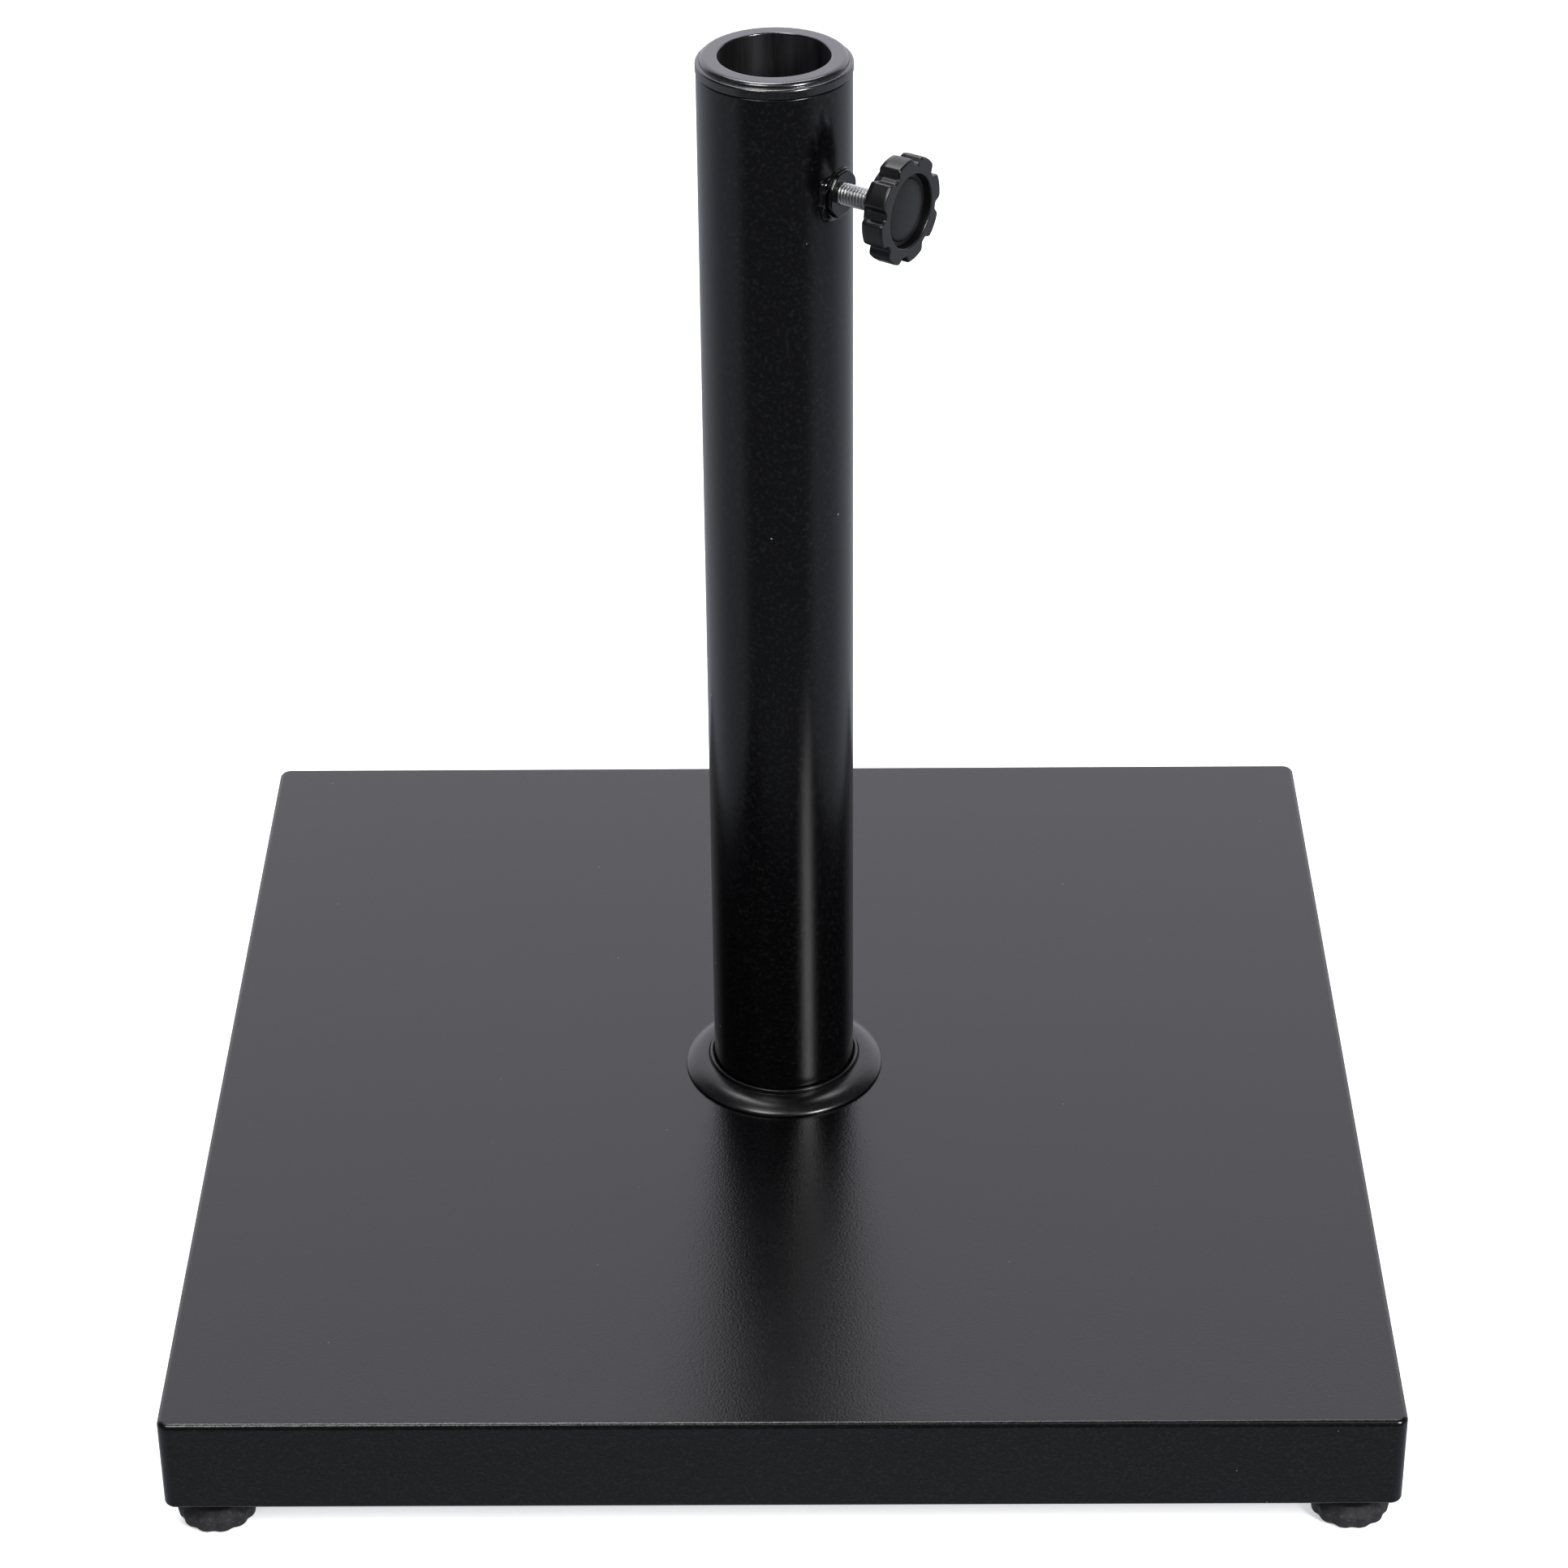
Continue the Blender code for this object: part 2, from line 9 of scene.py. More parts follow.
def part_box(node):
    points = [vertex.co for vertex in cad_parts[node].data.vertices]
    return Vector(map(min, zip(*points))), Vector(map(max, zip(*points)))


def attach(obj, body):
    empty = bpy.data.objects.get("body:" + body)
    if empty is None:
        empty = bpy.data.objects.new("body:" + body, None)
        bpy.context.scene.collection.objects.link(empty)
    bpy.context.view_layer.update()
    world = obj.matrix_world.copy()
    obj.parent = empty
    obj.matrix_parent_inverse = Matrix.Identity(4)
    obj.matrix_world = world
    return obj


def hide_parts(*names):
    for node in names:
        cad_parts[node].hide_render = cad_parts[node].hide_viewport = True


mm = 0.001
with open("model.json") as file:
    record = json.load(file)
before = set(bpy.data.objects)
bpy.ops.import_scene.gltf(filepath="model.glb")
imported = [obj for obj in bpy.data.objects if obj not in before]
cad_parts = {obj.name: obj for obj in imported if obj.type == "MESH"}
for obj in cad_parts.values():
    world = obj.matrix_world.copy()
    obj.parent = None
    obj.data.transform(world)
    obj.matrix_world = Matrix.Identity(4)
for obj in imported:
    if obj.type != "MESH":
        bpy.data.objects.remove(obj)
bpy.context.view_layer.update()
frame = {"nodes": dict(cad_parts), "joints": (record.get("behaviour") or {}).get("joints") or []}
nodes = frame["nodes"]
joints = {joint["name"]: joint for joint in frame["joints"]}
corners = ["front_left", "front_right", "back_left", "back_right"]
print("frame loaded:", len(nodes), "nodes")


# node helpers

def newMaterial(name):
    material = bpy.data.materials.new(name)
    material.use_nodes = True
    shader = material.node_tree.nodes["Principled BSDF"]
    return material, material.node_tree, shader


def addNode(tree, kind, **values):
    # a name with spaces written as _ sets an input, and a plain attribute sets the node
    node = tree.nodes.new(kind)
    for key, value in values.items():
        if hasattr(node, key):
            setattr(node, key, value)
        else:
            node.inputs[key.replace("_", " ")].default_value = value
    return node


def newGroup(name, inputs, outputs):
    group = bpy.data.node_groups.new(name, "ShaderNodeTree")
    for label, kind, value in inputs:
        socket = group.interface.new_socket(name=label, in_out="INPUT", socket_type=kind)
        socket.default_value = value
    for label, kind in outputs:
        group.interface.new_socket(name=label, in_out="OUTPUT", socket_type=kind)
    start = group.nodes.new("NodeGroupInput")
    end = group.nodes.new("NodeGroupOutput")
    return group, start, end


def useGroup(tree, group, **values):
    node = tree.nodes.new("ShaderNodeGroup")
    node.node_tree = group
    for key, value in values.items():
        node.inputs[key].default_value = value
    return node


def mixColours(tree, factor, first, second):
    mix = addNode(tree, "ShaderNodeMix", data_type="RGBA")
    mix.inputs["A"].default_value = (*first, 1)
    mix.inputs["B"].default_value = (*second, 1)
    tree.links.new(factor, mix.inputs[0])
    return mix.outputs["Result"]


def spread(tree, value, low, high):
    # a 0 to 1 value as one between low and high
    ranged = addNode(tree, "ShaderNodeMapRange")
    ranged.inputs["To Min"].default_value = low
    ranged.inputs["To Max"].default_value = high
    tree.links.new(value, ranged.inputs["Value"])
    return ranged.outputs["Result"]


def ramp(tree, value, start, end, low, high):
    # low up to start, high from end, and smooth between
    step = addNode(tree, "ShaderNodeMapRange", interpolation_type="SMOOTHSTEP")
    step.inputs["From Min"].default_value = start
    step.inputs["From Max"].default_value = end
    step.inputs["To Min"].default_value = low
    step.inputs["To Max"].default_value = high
    tree.links.new(value, step.inputs["Value"])
    return step.outputs["Result"]


def combine(tree, operation, first, second):
    # second may be a plain number
    node = addNode(tree, "ShaderNodeMath", operation=operation)
    tree.links.new(first, node.inputs[0])
    if isinstance(second, float):
        node.inputs[1].default_value = second
    else:
        tree.links.new(second, node.inputs[1])
    return node.outputs[0]


def bumpInto(tree, shader, height, distance, strength=1.0):
    bump = addNode(tree, "ShaderNodeBump", Distance=distance, Strength=strength)
    tree.links.new(height, bump.inputs["Height"])
    tree.links.new(bump.outputs["Normal"], shader.inputs["Normal"])


# finishes that several materials share

def makeGrainGroup():
    # the fine pebbled skin of a sprayed or moulded surface, with a slow unevenness under it
    inputs = [
        ("grainSize", "NodeSocketFloat", 900.0),
        ("swellSize", "NodeSocketFloat", 14.0),
        ("swell", "NodeSocketFloat", 0.5),
    ]
    outputs = [("height", "NodeSocketFloat"), ("tone", "NodeSocketFloat"), ("gloss", "NodeSocketFloat")]
    group, start, end = newGroup("coatGrain", inputs, outputs)
    links = group.links
    place = addNode(group, "ShaderNodeTexCoord")
    grain = addNode(group, "ShaderNodeTexNoise", Detail=3.0, Roughness=0.55)
    links.new(place.outputs["Object"], grain.inputs["Vector"])
    links.new(start.outputs["grainSize"], grain.inputs["Scale"])
    swell = addNode(group, "ShaderNodeTexNoise", Detail=2.0, Roughness=0.5)
    links.new(place.outputs["Object"], swell.inputs["Vector"])
    links.new(start.outputs["swellSize"], swell.inputs["Scale"])
    scaled = combine(group, "MULTIPLY", swell.outputs["Fac"], start.outputs["swell"])
    total = combine(group, "ADD", grain.outputs["Fac"], scaled)
    cloud = addNode(group, "ShaderNodeTexNoise", Scale=38.0, Detail=5.0, Roughness=0.65)
    links.new(place.outputs["Object"], cloud.inputs["Vector"])
    links.new(total, end.inputs["height"])
    links.new(ramp(group, grain.outputs["Fac"], 0.49, 0.70, 0.0, 1.0), end.inputs["tone"])
    links.new(cloud.outputs["Fac"], end.inputs["gloss"])
    return group


def makeDustGroup():
    # stray pale specks and lint, as a mask
    inputs = [("speckSize", "NodeSocketFloat", 90.0), ("amount", "NodeSocketFloat", 0.02)]
    group, start, end = newGroup("dustSpecks", inputs, [("mask", "NodeSocketFloat")])
    links = group.links
    place = addNode(group, "ShaderNodeTexCoord")
    cells = addNode(group, "ShaderNodeTexVoronoi", Randomness=1.0)
    links.new(place.outputs["Object"], cells.inputs["Vector"])
    links.new(start.outputs["speckSize"], cells.inputs["Scale"])
    near = combine(group, "LESS_THAN", cells.outputs["Distance"], start.outputs["amount"])
    pick = addNode(group, "ShaderNodeSeparateColor")
    links.new(cells.outputs["Color"], pick.inputs[0])
    rare = combine(group, "GREATER_THAN", pick.outputs[0], 0.62)
    links.new(combine(group, "MULTIPLY", near, rare), end.inputs["mask"])
    return group


coatGrain = makeGrainGroup()
dustSpecks = makeDustGroup()


# materials

def coated(
    name, dark, light, gloss, grainSize, bumpDepth, swell, swellSize=14.0, specks=0.02, shine=0.5
):
    # paint or plastic: grain, cloudy gloss and a few specks of dust
    material, tree, shader = newMaterial(name)
    grain = useGroup(tree, coatGrain, grainSize=grainSize, swell=swell, swellSize=swellSize)
    dust = useGroup(tree, dustSpecks, amount=specks)
    colour = mixColours(tree, grain.outputs["tone"], dark, light)
    speckled = addNode(tree, "ShaderNodeMix", data_type="RGBA")
    speckled.inputs["B"].default_value = (0.16, 0.16, 0.16, 1)
    tree.links.new(dust.outputs["mask"], speckled.inputs[0])
    tree.links.new(colour, speckled.inputs["A"])
    tree.links.new(speckled.outputs["Result"], shader.inputs["Base Color"])
    tree.links.new(spread(tree, grain.outputs["gloss"], *gloss), shader.inputs["Roughness"])
    shader.inputs["Specular IOR Level"].default_value = shine
    bumpInto(tree, shader, grain.outputs["height"], bumpDepth)
    return material


satinPaint = {
    "dark": (0.0010, 0.0010, 0.0013),  # between the flecks
    "light": (0.0052, 0.0052, 0.0058),  # the flecks of the grain
    "gloss": (0.17, 0.23),  # least and most roughness
    "grainSize": 1100.0,  # noise cells in a metre
    "bumpDepth": 0.075 * mm,
    "swell": 0.6,  # the slow unevenness, as a share of the grain's height
    "swellSize": 26.0,
}
tubePaint = {
    **satinPaint,
    "light": (0.0050, 0.0050, 0.0056),
    "grainSize": 650.0,
    "gloss": (0.17, 0.25),
    "bumpDepth": 0.014 * mm,
    "specks": 0.035,
}
thickPaint = {
    "dark": (0.0016, 0.0016, 0.0018),
    "light": (0.0030, 0.0030, 0.0034),
    "gloss": (0.10, 0.20),
    "grainSize": 420.0,
    "bumpDepth": 0.012 * mm,
    "swell": 1.0,
    "swellSize": 160.0,
}
hardPlastic = {
    "dark": (0.003, 0.003, 0.0035),
    "light": (0.008, 0.008, 0.009),
    "gloss": (0.14, 0.26),
    "grainSize": 650.0,
    "bumpDepth": 0.012 * mm,
    "swell": 1.2,
    "swellSize": 60.0,
}
bushPlastic = {**hardPlastic, "shine": 1.0}
ringPlastic = {**hardPlastic, "gloss": (0.18, 0.32), "bumpDepth": 0.018 * mm}
knobPlastic = {**hardPlastic, "light": (0.004, 0.004, 0.006), "gloss": (0.24, 0.36), "specks": 0.0}
capPlastic = {**hardPlastic, "light": (0.010, 0.010, 0.011), "gloss": (0.42, 0.55), "grainSize": 1500.0}
footPlastic = {
    "dark": (0.013, 0.013, 0.015),
    "light": (0.030, 0.030, 0.033),
    "gloss": (0.62, 0.80),
    "grainSize": 700.0,
    "bumpDepth": 0.05 * mm,
    "swell": 1.0,
    "swellSize": 120.0,
    "specks": 0.06,
}
soleRubber = {
    "dark": (0.014, 0.014, 0.014),
    "light": (0.028, 0.028, 0.027),
    "gloss": (0.65, 0.85),
    "grainSize": 1400.0,
    "bumpDepth": 0.06 * mm,
    "swell": 0.5,
}


def boreMaterial():
    # the bush's bore: dull, with streaks up its wall in roughness and bump, and lighter streaks in its
    # colour that are a painted reflection
    material, tree, shader = newMaterial("boreWall")
    place = addNode(tree, "ShaderNodeTexCoord")
    squash = addNode(tree, "ShaderNodeMapping")
    squash.inputs["Scale"].default_value = (1.0, 1.0, 0.06)
    tree.links.new(place.outputs["Object"], squash.inputs["Vector"])
    streaks = addNode(tree, "ShaderNodeTexNoise", Scale=170.0, Detail=4.0, Roughness=0.6)
    tree.links.new(squash.outputs["Vector"], streaks.inputs["Vector"])
    streakReflection = addNode(tree, "ShaderNodeMapRange")
    streakReflection.inputs["From Min"].default_value = 0.38
    streakReflection.inputs["From Max"].default_value = 0.68
    tree.links.new(streaks.outputs["Fac"], streakReflection.inputs["Value"])
    # painted reflection: lighter vertical streaks in the colour stand in for light up the bore wall
    tree.links.new(
        mixColours(tree, streakReflection.outputs["Result"], (0.001, 0.001, 0.0015), (0.017, 0.017, 0.020)),
        shader.inputs["Base Color"],
    )
    tree.links.new(spread(tree, streaks.outputs["Fac"], 0.40, 0.62), shader.inputs["Roughness"])
    bumpInto(tree, shader, streaks.outputs["Fac"], 0.02 * mm)
    return material


def grooveShadeMask(tree, place, pitch):
    # a mask that is 1 at the bottom of a right-hand thread's groove and 0 on its crest, for painted shade
    # in the groove
    parts = addNode(tree, "ShaderNodeSeparateXYZ")
    tree.links.new(place, parts.inputs[0])
    angle = combine(tree, "ARCTAN2", parts.outputs["Y"], parts.outputs["X"])
    around = combine(tree, "DIVIDE", angle, 2 * math.pi)
    along = combine(tree, "DIVIDE", parts.outputs["Z"], pitch)
    turns = combine(tree, "SUBTRACT", along, around)
    wrapped = combine(tree, "FLOORED_MODULO", turns, 1.0)
    centred = combine(tree, "SUBTRACT", wrapped, 0.5)
    away = addNode(tree, "ShaderNodeMath", operation="ABSOLUTE")
    tree.links.new(centred, away.inputs[0])
    return ramp(tree, away.outputs[0], 0.22, 0.42, 0.0, 1.0)  # away is 0 to half a turn


def zincMaterial(name, pitch=None):
    # bright zinc plating: slightly cloudy, with painted shade darkening the bottom of a thread's groove
    material, tree, shader = newMaterial(name)
    place = addNode(tree, "ShaderNodeTexCoord")
    cloud = addNode(tree, "ShaderNodeTexNoise", Scale=180.0, Detail=3.0, Roughness=0.5)
    tree.links.new(place.outputs["Object"], cloud.inputs["Vector"])
    plating = mixColours(tree, cloud.outputs["Fac"], (0.74, 0.74, 0.75), (0.92, 0.92, 0.91))
    if pitch:
        # painted shade: the colour darkens to near black down in the thread's groove
        grooveShade = addNode(tree, "ShaderNodeMix", data_type="RGBA")
        grooveShade.inputs["B"].default_value = (0.10, 0.10, 0.11, 1)
        tree.links.new(grooveShadeMask(tree, place.outputs["Object"], pitch), grooveShade.inputs[0])
        tree.links.new(plating, grooveShade.inputs["A"])
        plating = grooveShade.outputs["Result"]
    tree.links.new(plating, shader.inputs["Base Color"])
    tree.links.new(spread(tree, cloud.outputs["Fac"], 0.28, 0.42), shader.inputs["Roughness"])
    shader.inputs["Metallic"].default_value = 1.0
    bumpInto(tree, shader, cloud.outputs["Fac"], 0.004 * mm)
    return material


def sheetMaterial():
    # galvanised sheet: spangles of slightly different grey, with a dull bloom
    material, tree, shader = newMaterial("galvanisedSheet")
    place = addNode(tree, "ShaderNodeTexCoord")
    spangle = addNode(tree, "ShaderNodeTexVoronoi", Scale=140.0, Randomness=1.0)
    tree.links.new(place.outputs["Object"], spangle.inputs["Vector"])
    pick = addNode(tree, "ShaderNodeSeparateColor")
    tree.links.new(spangle.outputs["Color"], pick.inputs[0])
    cloud = addNode(tree, "ShaderNodeTexNoise", Scale=22.0, Detail=6.0, Roughness=0.6)
    tree.links.new(place.outputs["Object"], cloud.inputs["Vector"])
    tree.links.new(
        mixColours(tree, pick.outputs[0], (0.30, 0.31, 0.32), (0.46, 0.47, 0.48)),
        shader.inputs["Base Color"],
    )
    tree.links.new(spread(tree, cloud.outputs["Fac"], 0.32, 0.62), shader.inputs["Roughness"])
    shader.inputs["Metallic"].default_value = 0.9
    bumpInto(tree, shader, cloud.outputs["Fac"], 0.05 * mm)
    return material


def concreteMaterial():
    # cast concrete: sand grain, darker damp clouds, and small air holes with painted shade in them
    material, tree, shader = newMaterial("castConcrete")
    place = addNode(tree, "ShaderNodeTexCoord")
    sand = addNode(tree, "ShaderNodeTexNoise", Scale=480.0, Detail=6.0, Roughness=0.7)
    tree.links.new(place.outputs["Object"], sand.inputs["Vector"])
    cloud = addNode(tree, "ShaderNodeTexNoise", Scale=16.0, Detail=4.0, Roughness=0.6)
    tree.links.new(place.outputs["Object"], cloud.inputs["Vector"])
    holes = addNode(tree, "ShaderNodeTexVoronoi", Scale=170.0, Randomness=1.0)
    tree.links.new(place.outputs["Object"], holes.inputs["Vector"])
    pits = addNode(tree, "ShaderNodeMapRange")
    pits.inputs["From Max"].default_value = 0.22
    tree.links.new(holes.outputs["Distance"], pits.inputs["Value"])
    tones = addNode(tree, "ShaderNodeMix", data_type="RGBA")
    tones.inputs["A"].default_value = (0.24, 0.23, 0.21, 1)
    tones.inputs["B"].default_value = (0.50, 0.49, 0.46, 1)
    # painted shade: the colour darkens down in the air holes, and the clouds darken it at random
    cloudAndHoleShade = combine(tree, "MULTIPLY", cloud.outputs["Fac"], pits.outputs["Result"])
    lift = combine(tree, "ADD", cloudAndHoleShade, spread(tree, sand.outputs["Fac"], -0.15, 0.35))
    tree.links.new(lift, tones.inputs[0])
    tree.links.new(tones.outputs["Result"], shader.inputs["Base Color"])
    tree.links.new(spread(tree, sand.outputs["Fac"], 0.80, 0.98), shader.inputs["Roughness"])
    rough = combine(tree, "ADD", sand.outputs["Fac"], pits.outputs["Result"])
    bumpInto(tree, shader, rough, 0.4 * mm)
    return material


slabBlack = coated("slabPowderCoat", **satinPaint)
tubeBlack = coated("postPowderCoat", **tubePaint)
weldBlack = coated("thickPaint", **thickPaint)
bushBlack = coated("bushPlastic", **bushPlastic)
ringBlack = coated("ringPlastic", **ringPlastic)
boreBlack = boreMaterial()
knobBlack = coated("knobPlastic", **knobPlastic)
capBlack = coated("capPlastic", **capPlastic)
footBlack = coated("footPlastic", **footPlastic)
soleBlack = coated("soleRubber", **soleRubber)
brightZinc = zincMaterial("brightZinc")
threadZinc = zincMaterial("threadZinc", 1.25 * mm)
galvanised = sheetMaterial()
castConcrete = concreteMaterial()
print("materials made")


# mesh helpers

def objectFrom(bm, name, place=None):
    bmesh.ops.recalc_face_normals(bm, faces=bm.faces)
    mesh = bpy.data.meshes.new(name)
    bm.to_mesh(mesh)
    bm.free()
    item = bpy.data.objects.new(name, mesh)
    bpy.context.scene.collection.objects.link(item)
    if place is not None:
        item.matrix_world = place
    return item


def sharpen(piece, angle=38):
    # edges that turn more than the angle stay sharp
    piece.data.set_sharp_from_angle(angle=math.radians(angle))


def addPiece(name, bm, material, body, replaced, place=None, sharp=38):
    piece = objectFrom(bm, name, place)
    piece.data.materials.append(material)
    piece.data.shade_smooth()
    sharpen(piece, sharp)
    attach(piece, body)
    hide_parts(*replaced)
    return piece


def evenNormals(piece):
    # keeps flat faces flat where they meet rounded edges
    weighted = piece.modifiers.new("evenNormals", "WEIGHTED_NORMAL")
    weighted.keep_sharp = True


def rounded(outline, segments=5):
    # an outline of (radius, height, fillet), with each corner rounded by its fillet
    points = []
    for i, (radius, height, fillet) in enumerate(outline):
        here = Vector((radius, height))
        if fillet == 0:
            points.append(tuple(here))
            continue
        before = (Vector(outline[i - 1][:2]) - here).normalized()
        after = (Vector(outline[(i + 1) % len(outline)][:2]) - here).normalized()
        half = before.angle(after) / 2
        centre = here + (before + after).normalized() * fillet / math.sin(half)
        reach = fillet / math.tan(half)
        start = here + before * reach - centre
        end = here + after * reach - centre
        first = math.atan2(start.y, start.x)
        sweep = (math.atan2(end.y, end.x) - first + math.pi) % (2 * math.pi) - math.pi
        for k in range(segments + 1):
            angle = first + sweep * k / segments
            points.append((centre.x + fillet * math.cos(angle), centre.y + fillet * math.sin(angle)))
    return points


def joinRings(bm, first, second):
    count = max(len(first), len(second))
    for i in range(count):
        face = [first[i % len(first)], first[(i + 1) % len(first)]]
        face += [second[(i + 1) % len(second)], second[i % len(second)]]
        bm.faces.new(dict.fromkeys(face))  # a ring of one point gives triangles


def lathe(profile, steps, shape=None):
    # turns (radius, height) points about Z; shape(radius, height, angle) may move each one
    bm = bmesh.new()
    rings = []
    for radius, height in profile:
        if radius < 1e-7:
            rings.append([bm.verts.new((0, 0, height))])
            continue
        loop = []
        for i in range(steps):
            angle = 2 * math.pi * i / steps
            r, z = shape(radius, height, angle) if shape else (radius, height)
            loop.append(bm.verts.new((r * math.cos(angle), r * math.sin(angle), z)))
        rings.append(loop)
    for first, second in zip(rings, rings[1:]):
        joinRings(bm, first, second)
    if len(rings[0]) > 1 or len(rings[-1]) > 1:  # a profile that doesn't start and end on the axis
        joinRings(bm, rings[-1], rings[0])
    return bm


def cutWith(piece, bm, place=None, operation="DIFFERENCE"):
    # cuts the piece with a solid, or joins the two
    tool = objectFrom(bm, "tool", place)
    boolean = piece.modifiers.new("cut", "BOOLEAN")
    boolean.operation = operation
    boolean.object = tool
    bpy.context.view_layer.update()
    depsgraph = bpy.context.evaluated_depsgraph_get()
    cut = bpy.data.meshes.new_from_object(piece.evaluated_get(depsgraph))
    piece.modifiers.remove(boolean)
    piece.data = cut
    bpy.data.objects.remove(tool)


def threadShape(pitch, depth, start, end):
    # moves a fine cylinder into a helical thread that fades out at both ends
    def shape(radius, height, angle):
        turn = (height / pitch - angle / (2 * math.pi)) % 1
        tooth = min(1, max(0, abs(turn - 0.5) * 2.9 - 0.25))
        fade = min(1, max(0, (height - start) / pitch), max(0, (end - height) / pitch))
        return radius - depth * tooth * fade, height
    return shape


def hexOutline(across, angle):
    # distance from the axis to a hexagon's side
    folded = (angle + math.pi / 6) % (math.pi / 3) - math.pi / 6
    return across / 2 / math.cos(folded)


# slab

slab = {
    "sheet": 1.2 * mm,
    "cornerRadius": 4.5 * mm,
    "topEdge": 2 * mm,
    "flatStart": 5 * mm,
    "fold": 1.5 * mm,
    "lip": 7.5 * mm,
    "lipEdge": 0.3 * mm,
    "insideFold": 0.4 * mm,
    "cornerSteps": 14,
    "edgeSteps": 10,
}


def roundedSquare(half, inset, radius, height, steps):
    # one loop of a square with round corners, shrunk by inset
    loop = []
    turn = max(radius - inset, 1 * mm)
    reach = half - inset - turn
    for quarter in range(4):
        for step in range(steps + 1):
            angle = math.pi / 2 * (quarter + step / steps)
            sideX = 1 if quarter in (0, 3) else -1
            sideY = 1 if quarter in (0, 1) else -1
            x = sideX * reach + turn * math.cos(angle)
            y = sideY * reach + turn * math.sin(angle)
            loop.append((x, y, height))
    return loop


def makeSlabShell():
    low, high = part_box("base_shell")
    sheet, lip = slab["sheet"], slab["lip"]
    outline = [  # inset from the slab's side, height, fillet
        (slab["flatStart"], high.z, 0),
        (0, high.z, slab["topEdge"]),
        (0, low.z, slab["fold"]),
        (lip, low.z, slab["lipEdge"]),
        (lip, low.z + sheet, slab["lipEdge"]),
        (sheet, low.z + sheet, slab["insideFold"]),
        (sheet, high.z - sheet, slab["topEdge"] - sheet),
        (slab["flatStart"], high.z - sheet, 0),
    ]
    bm = bmesh.new()
    rings = []
    for inset, height in rounded(outline, slab["edgeSteps"]):
        loop = roundedSquare(high.x, inset, slab["cornerRadius"], height, slab["cornerSteps"])
        rings.append([bm.verts.new(point) for point in loop])
    for first, second in zip(rings, rings[1:]):
        joinRings(bm, first, second)
    bm.faces.new(rings[0])
    bm.faces.new(rings[-1])
    piece = addPiece("slabShell", bm, slabBlack, "base", ["base_shell"])
    evenNormals(piece)


# post

clampJoint = joints["knob_turn"]
clampAxis = Vector(clampJoint["axis"]).normalized()
clampDown = Vector((0, 0, -1))
clampSide = clampAxis.cross(clampDown)
clampTurn = Matrix((clampDown, clampSide, clampAxis)).transposed().to_4x4()
clampPlace = Matrix.Translation(Vector(clampJoint["pos_m"])) @ clampTurn
post = {"wall": 1.5 * mm, "nutHole": 6.5 * mm, "drillFrom": 10 * mm, "drillTo": 40 * mm, "steps": 160}


def alongClamp(node):
    # how far a node reaches along the clamp's axis, least and most
    reach = [(clampPlace.inverted() @ v.co).z for v in nodes[node].data.vertices]
    return min(reach), max(reach)


def makePost():
    low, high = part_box("post_tube")
    inner = high.x - post["wall"]
    outline = [
        (high.x, high.z, 0.5 * mm),
        (high.x, low.z, 0.3 * mm),
        (inner, low.z, 0.3 * mm),
        (inner, high.z, 0.3 * mm),
    ]
    bm = lathe(rounded(outline, 4), post["steps"])
    piece = addPiece("postTube", bm, tubeBlack, "base", ["post_tube"])
    near, far, hole = post["drillFrom"], post["drillTo"], post["nutHole"]
    drill = [(0, far), (hole, far), (hole, near), (0, near)]
    cutWith(piece, lathe(drill, 48), clampPlace)
    sharpen(piece)
    evenNormals(piece)


ring = {
    "bore": 28.4 * mm,
    "lip": 1.1 * mm,
    "crownStart": 1.8 * mm,
    "crownSteps": 17,
    "steps": 160,
}


def makeCoverRing():
    low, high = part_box("cover_ring")
    bore, outer, seat = ring["bore"], high.x, low.z
    lip, start = bore + ring["lip"], bore + ring["crownStart"]
    outline = [
        (bore, seat, 0.2 * mm),
        (bore, high.z, 0.3 * mm),
        (lip, high.z, 0.4 * mm),
        (lip + 0.1 * mm, seat + 3.7 * mm, 0.1 * mm),
    ]
    for i in range(ring["crownSteps"]):  # the crown falls more and more steeply to the rim
        share = i / ring["crownSteps"]
        outline.append((start + (outer - start) * share, seat + mm * (0.8 + 3.4 * (1 - share**2.2)), 0))
    outline += [
        (outer - 0.05 * mm, seat + 0.7 * mm, 0),
        (outer, seat + 0.4 * mm, 0),
        (outer, seat, 0.1 * mm),
        (outer - 1.4 * mm, seat, 0.2 * mm),
        (outer - 4.4 * mm, seat + 1.6 * mm, 0.2 * mm),
        (bore + 3.4 * mm, seat + 2.6 * mm, 0.2 * mm),
        (bore + 1.4 * mm, seat + 2.6 * mm, 0.2 * mm),
        (bore + 1.4 * mm, seat, 0.2 * mm),
    ]
    bm = lathe(rounded(outline), ring["steps"])
    piece = addPiece("coverRing", bm, ringBlack, "ring", ["cover_ring"])
    evenNormals(piece)


bush = {
    "bore": 20 * mm,
    "crown": 26.6 * mm,
    "crownSpread": 2.0 * mm,
    "crownFall": 1.6 * mm,
    "sleeve": 22 * mm,
    "skirtGap": 0.25 * mm,
    "skirtWall": 1.8 * mm,
    "headHeight": 5.4 * mm,
    "step": 1.9 * mm,
    "ribs": 8,
    "ribWidth": 1.6 * mm,
    "steps": 160,
}


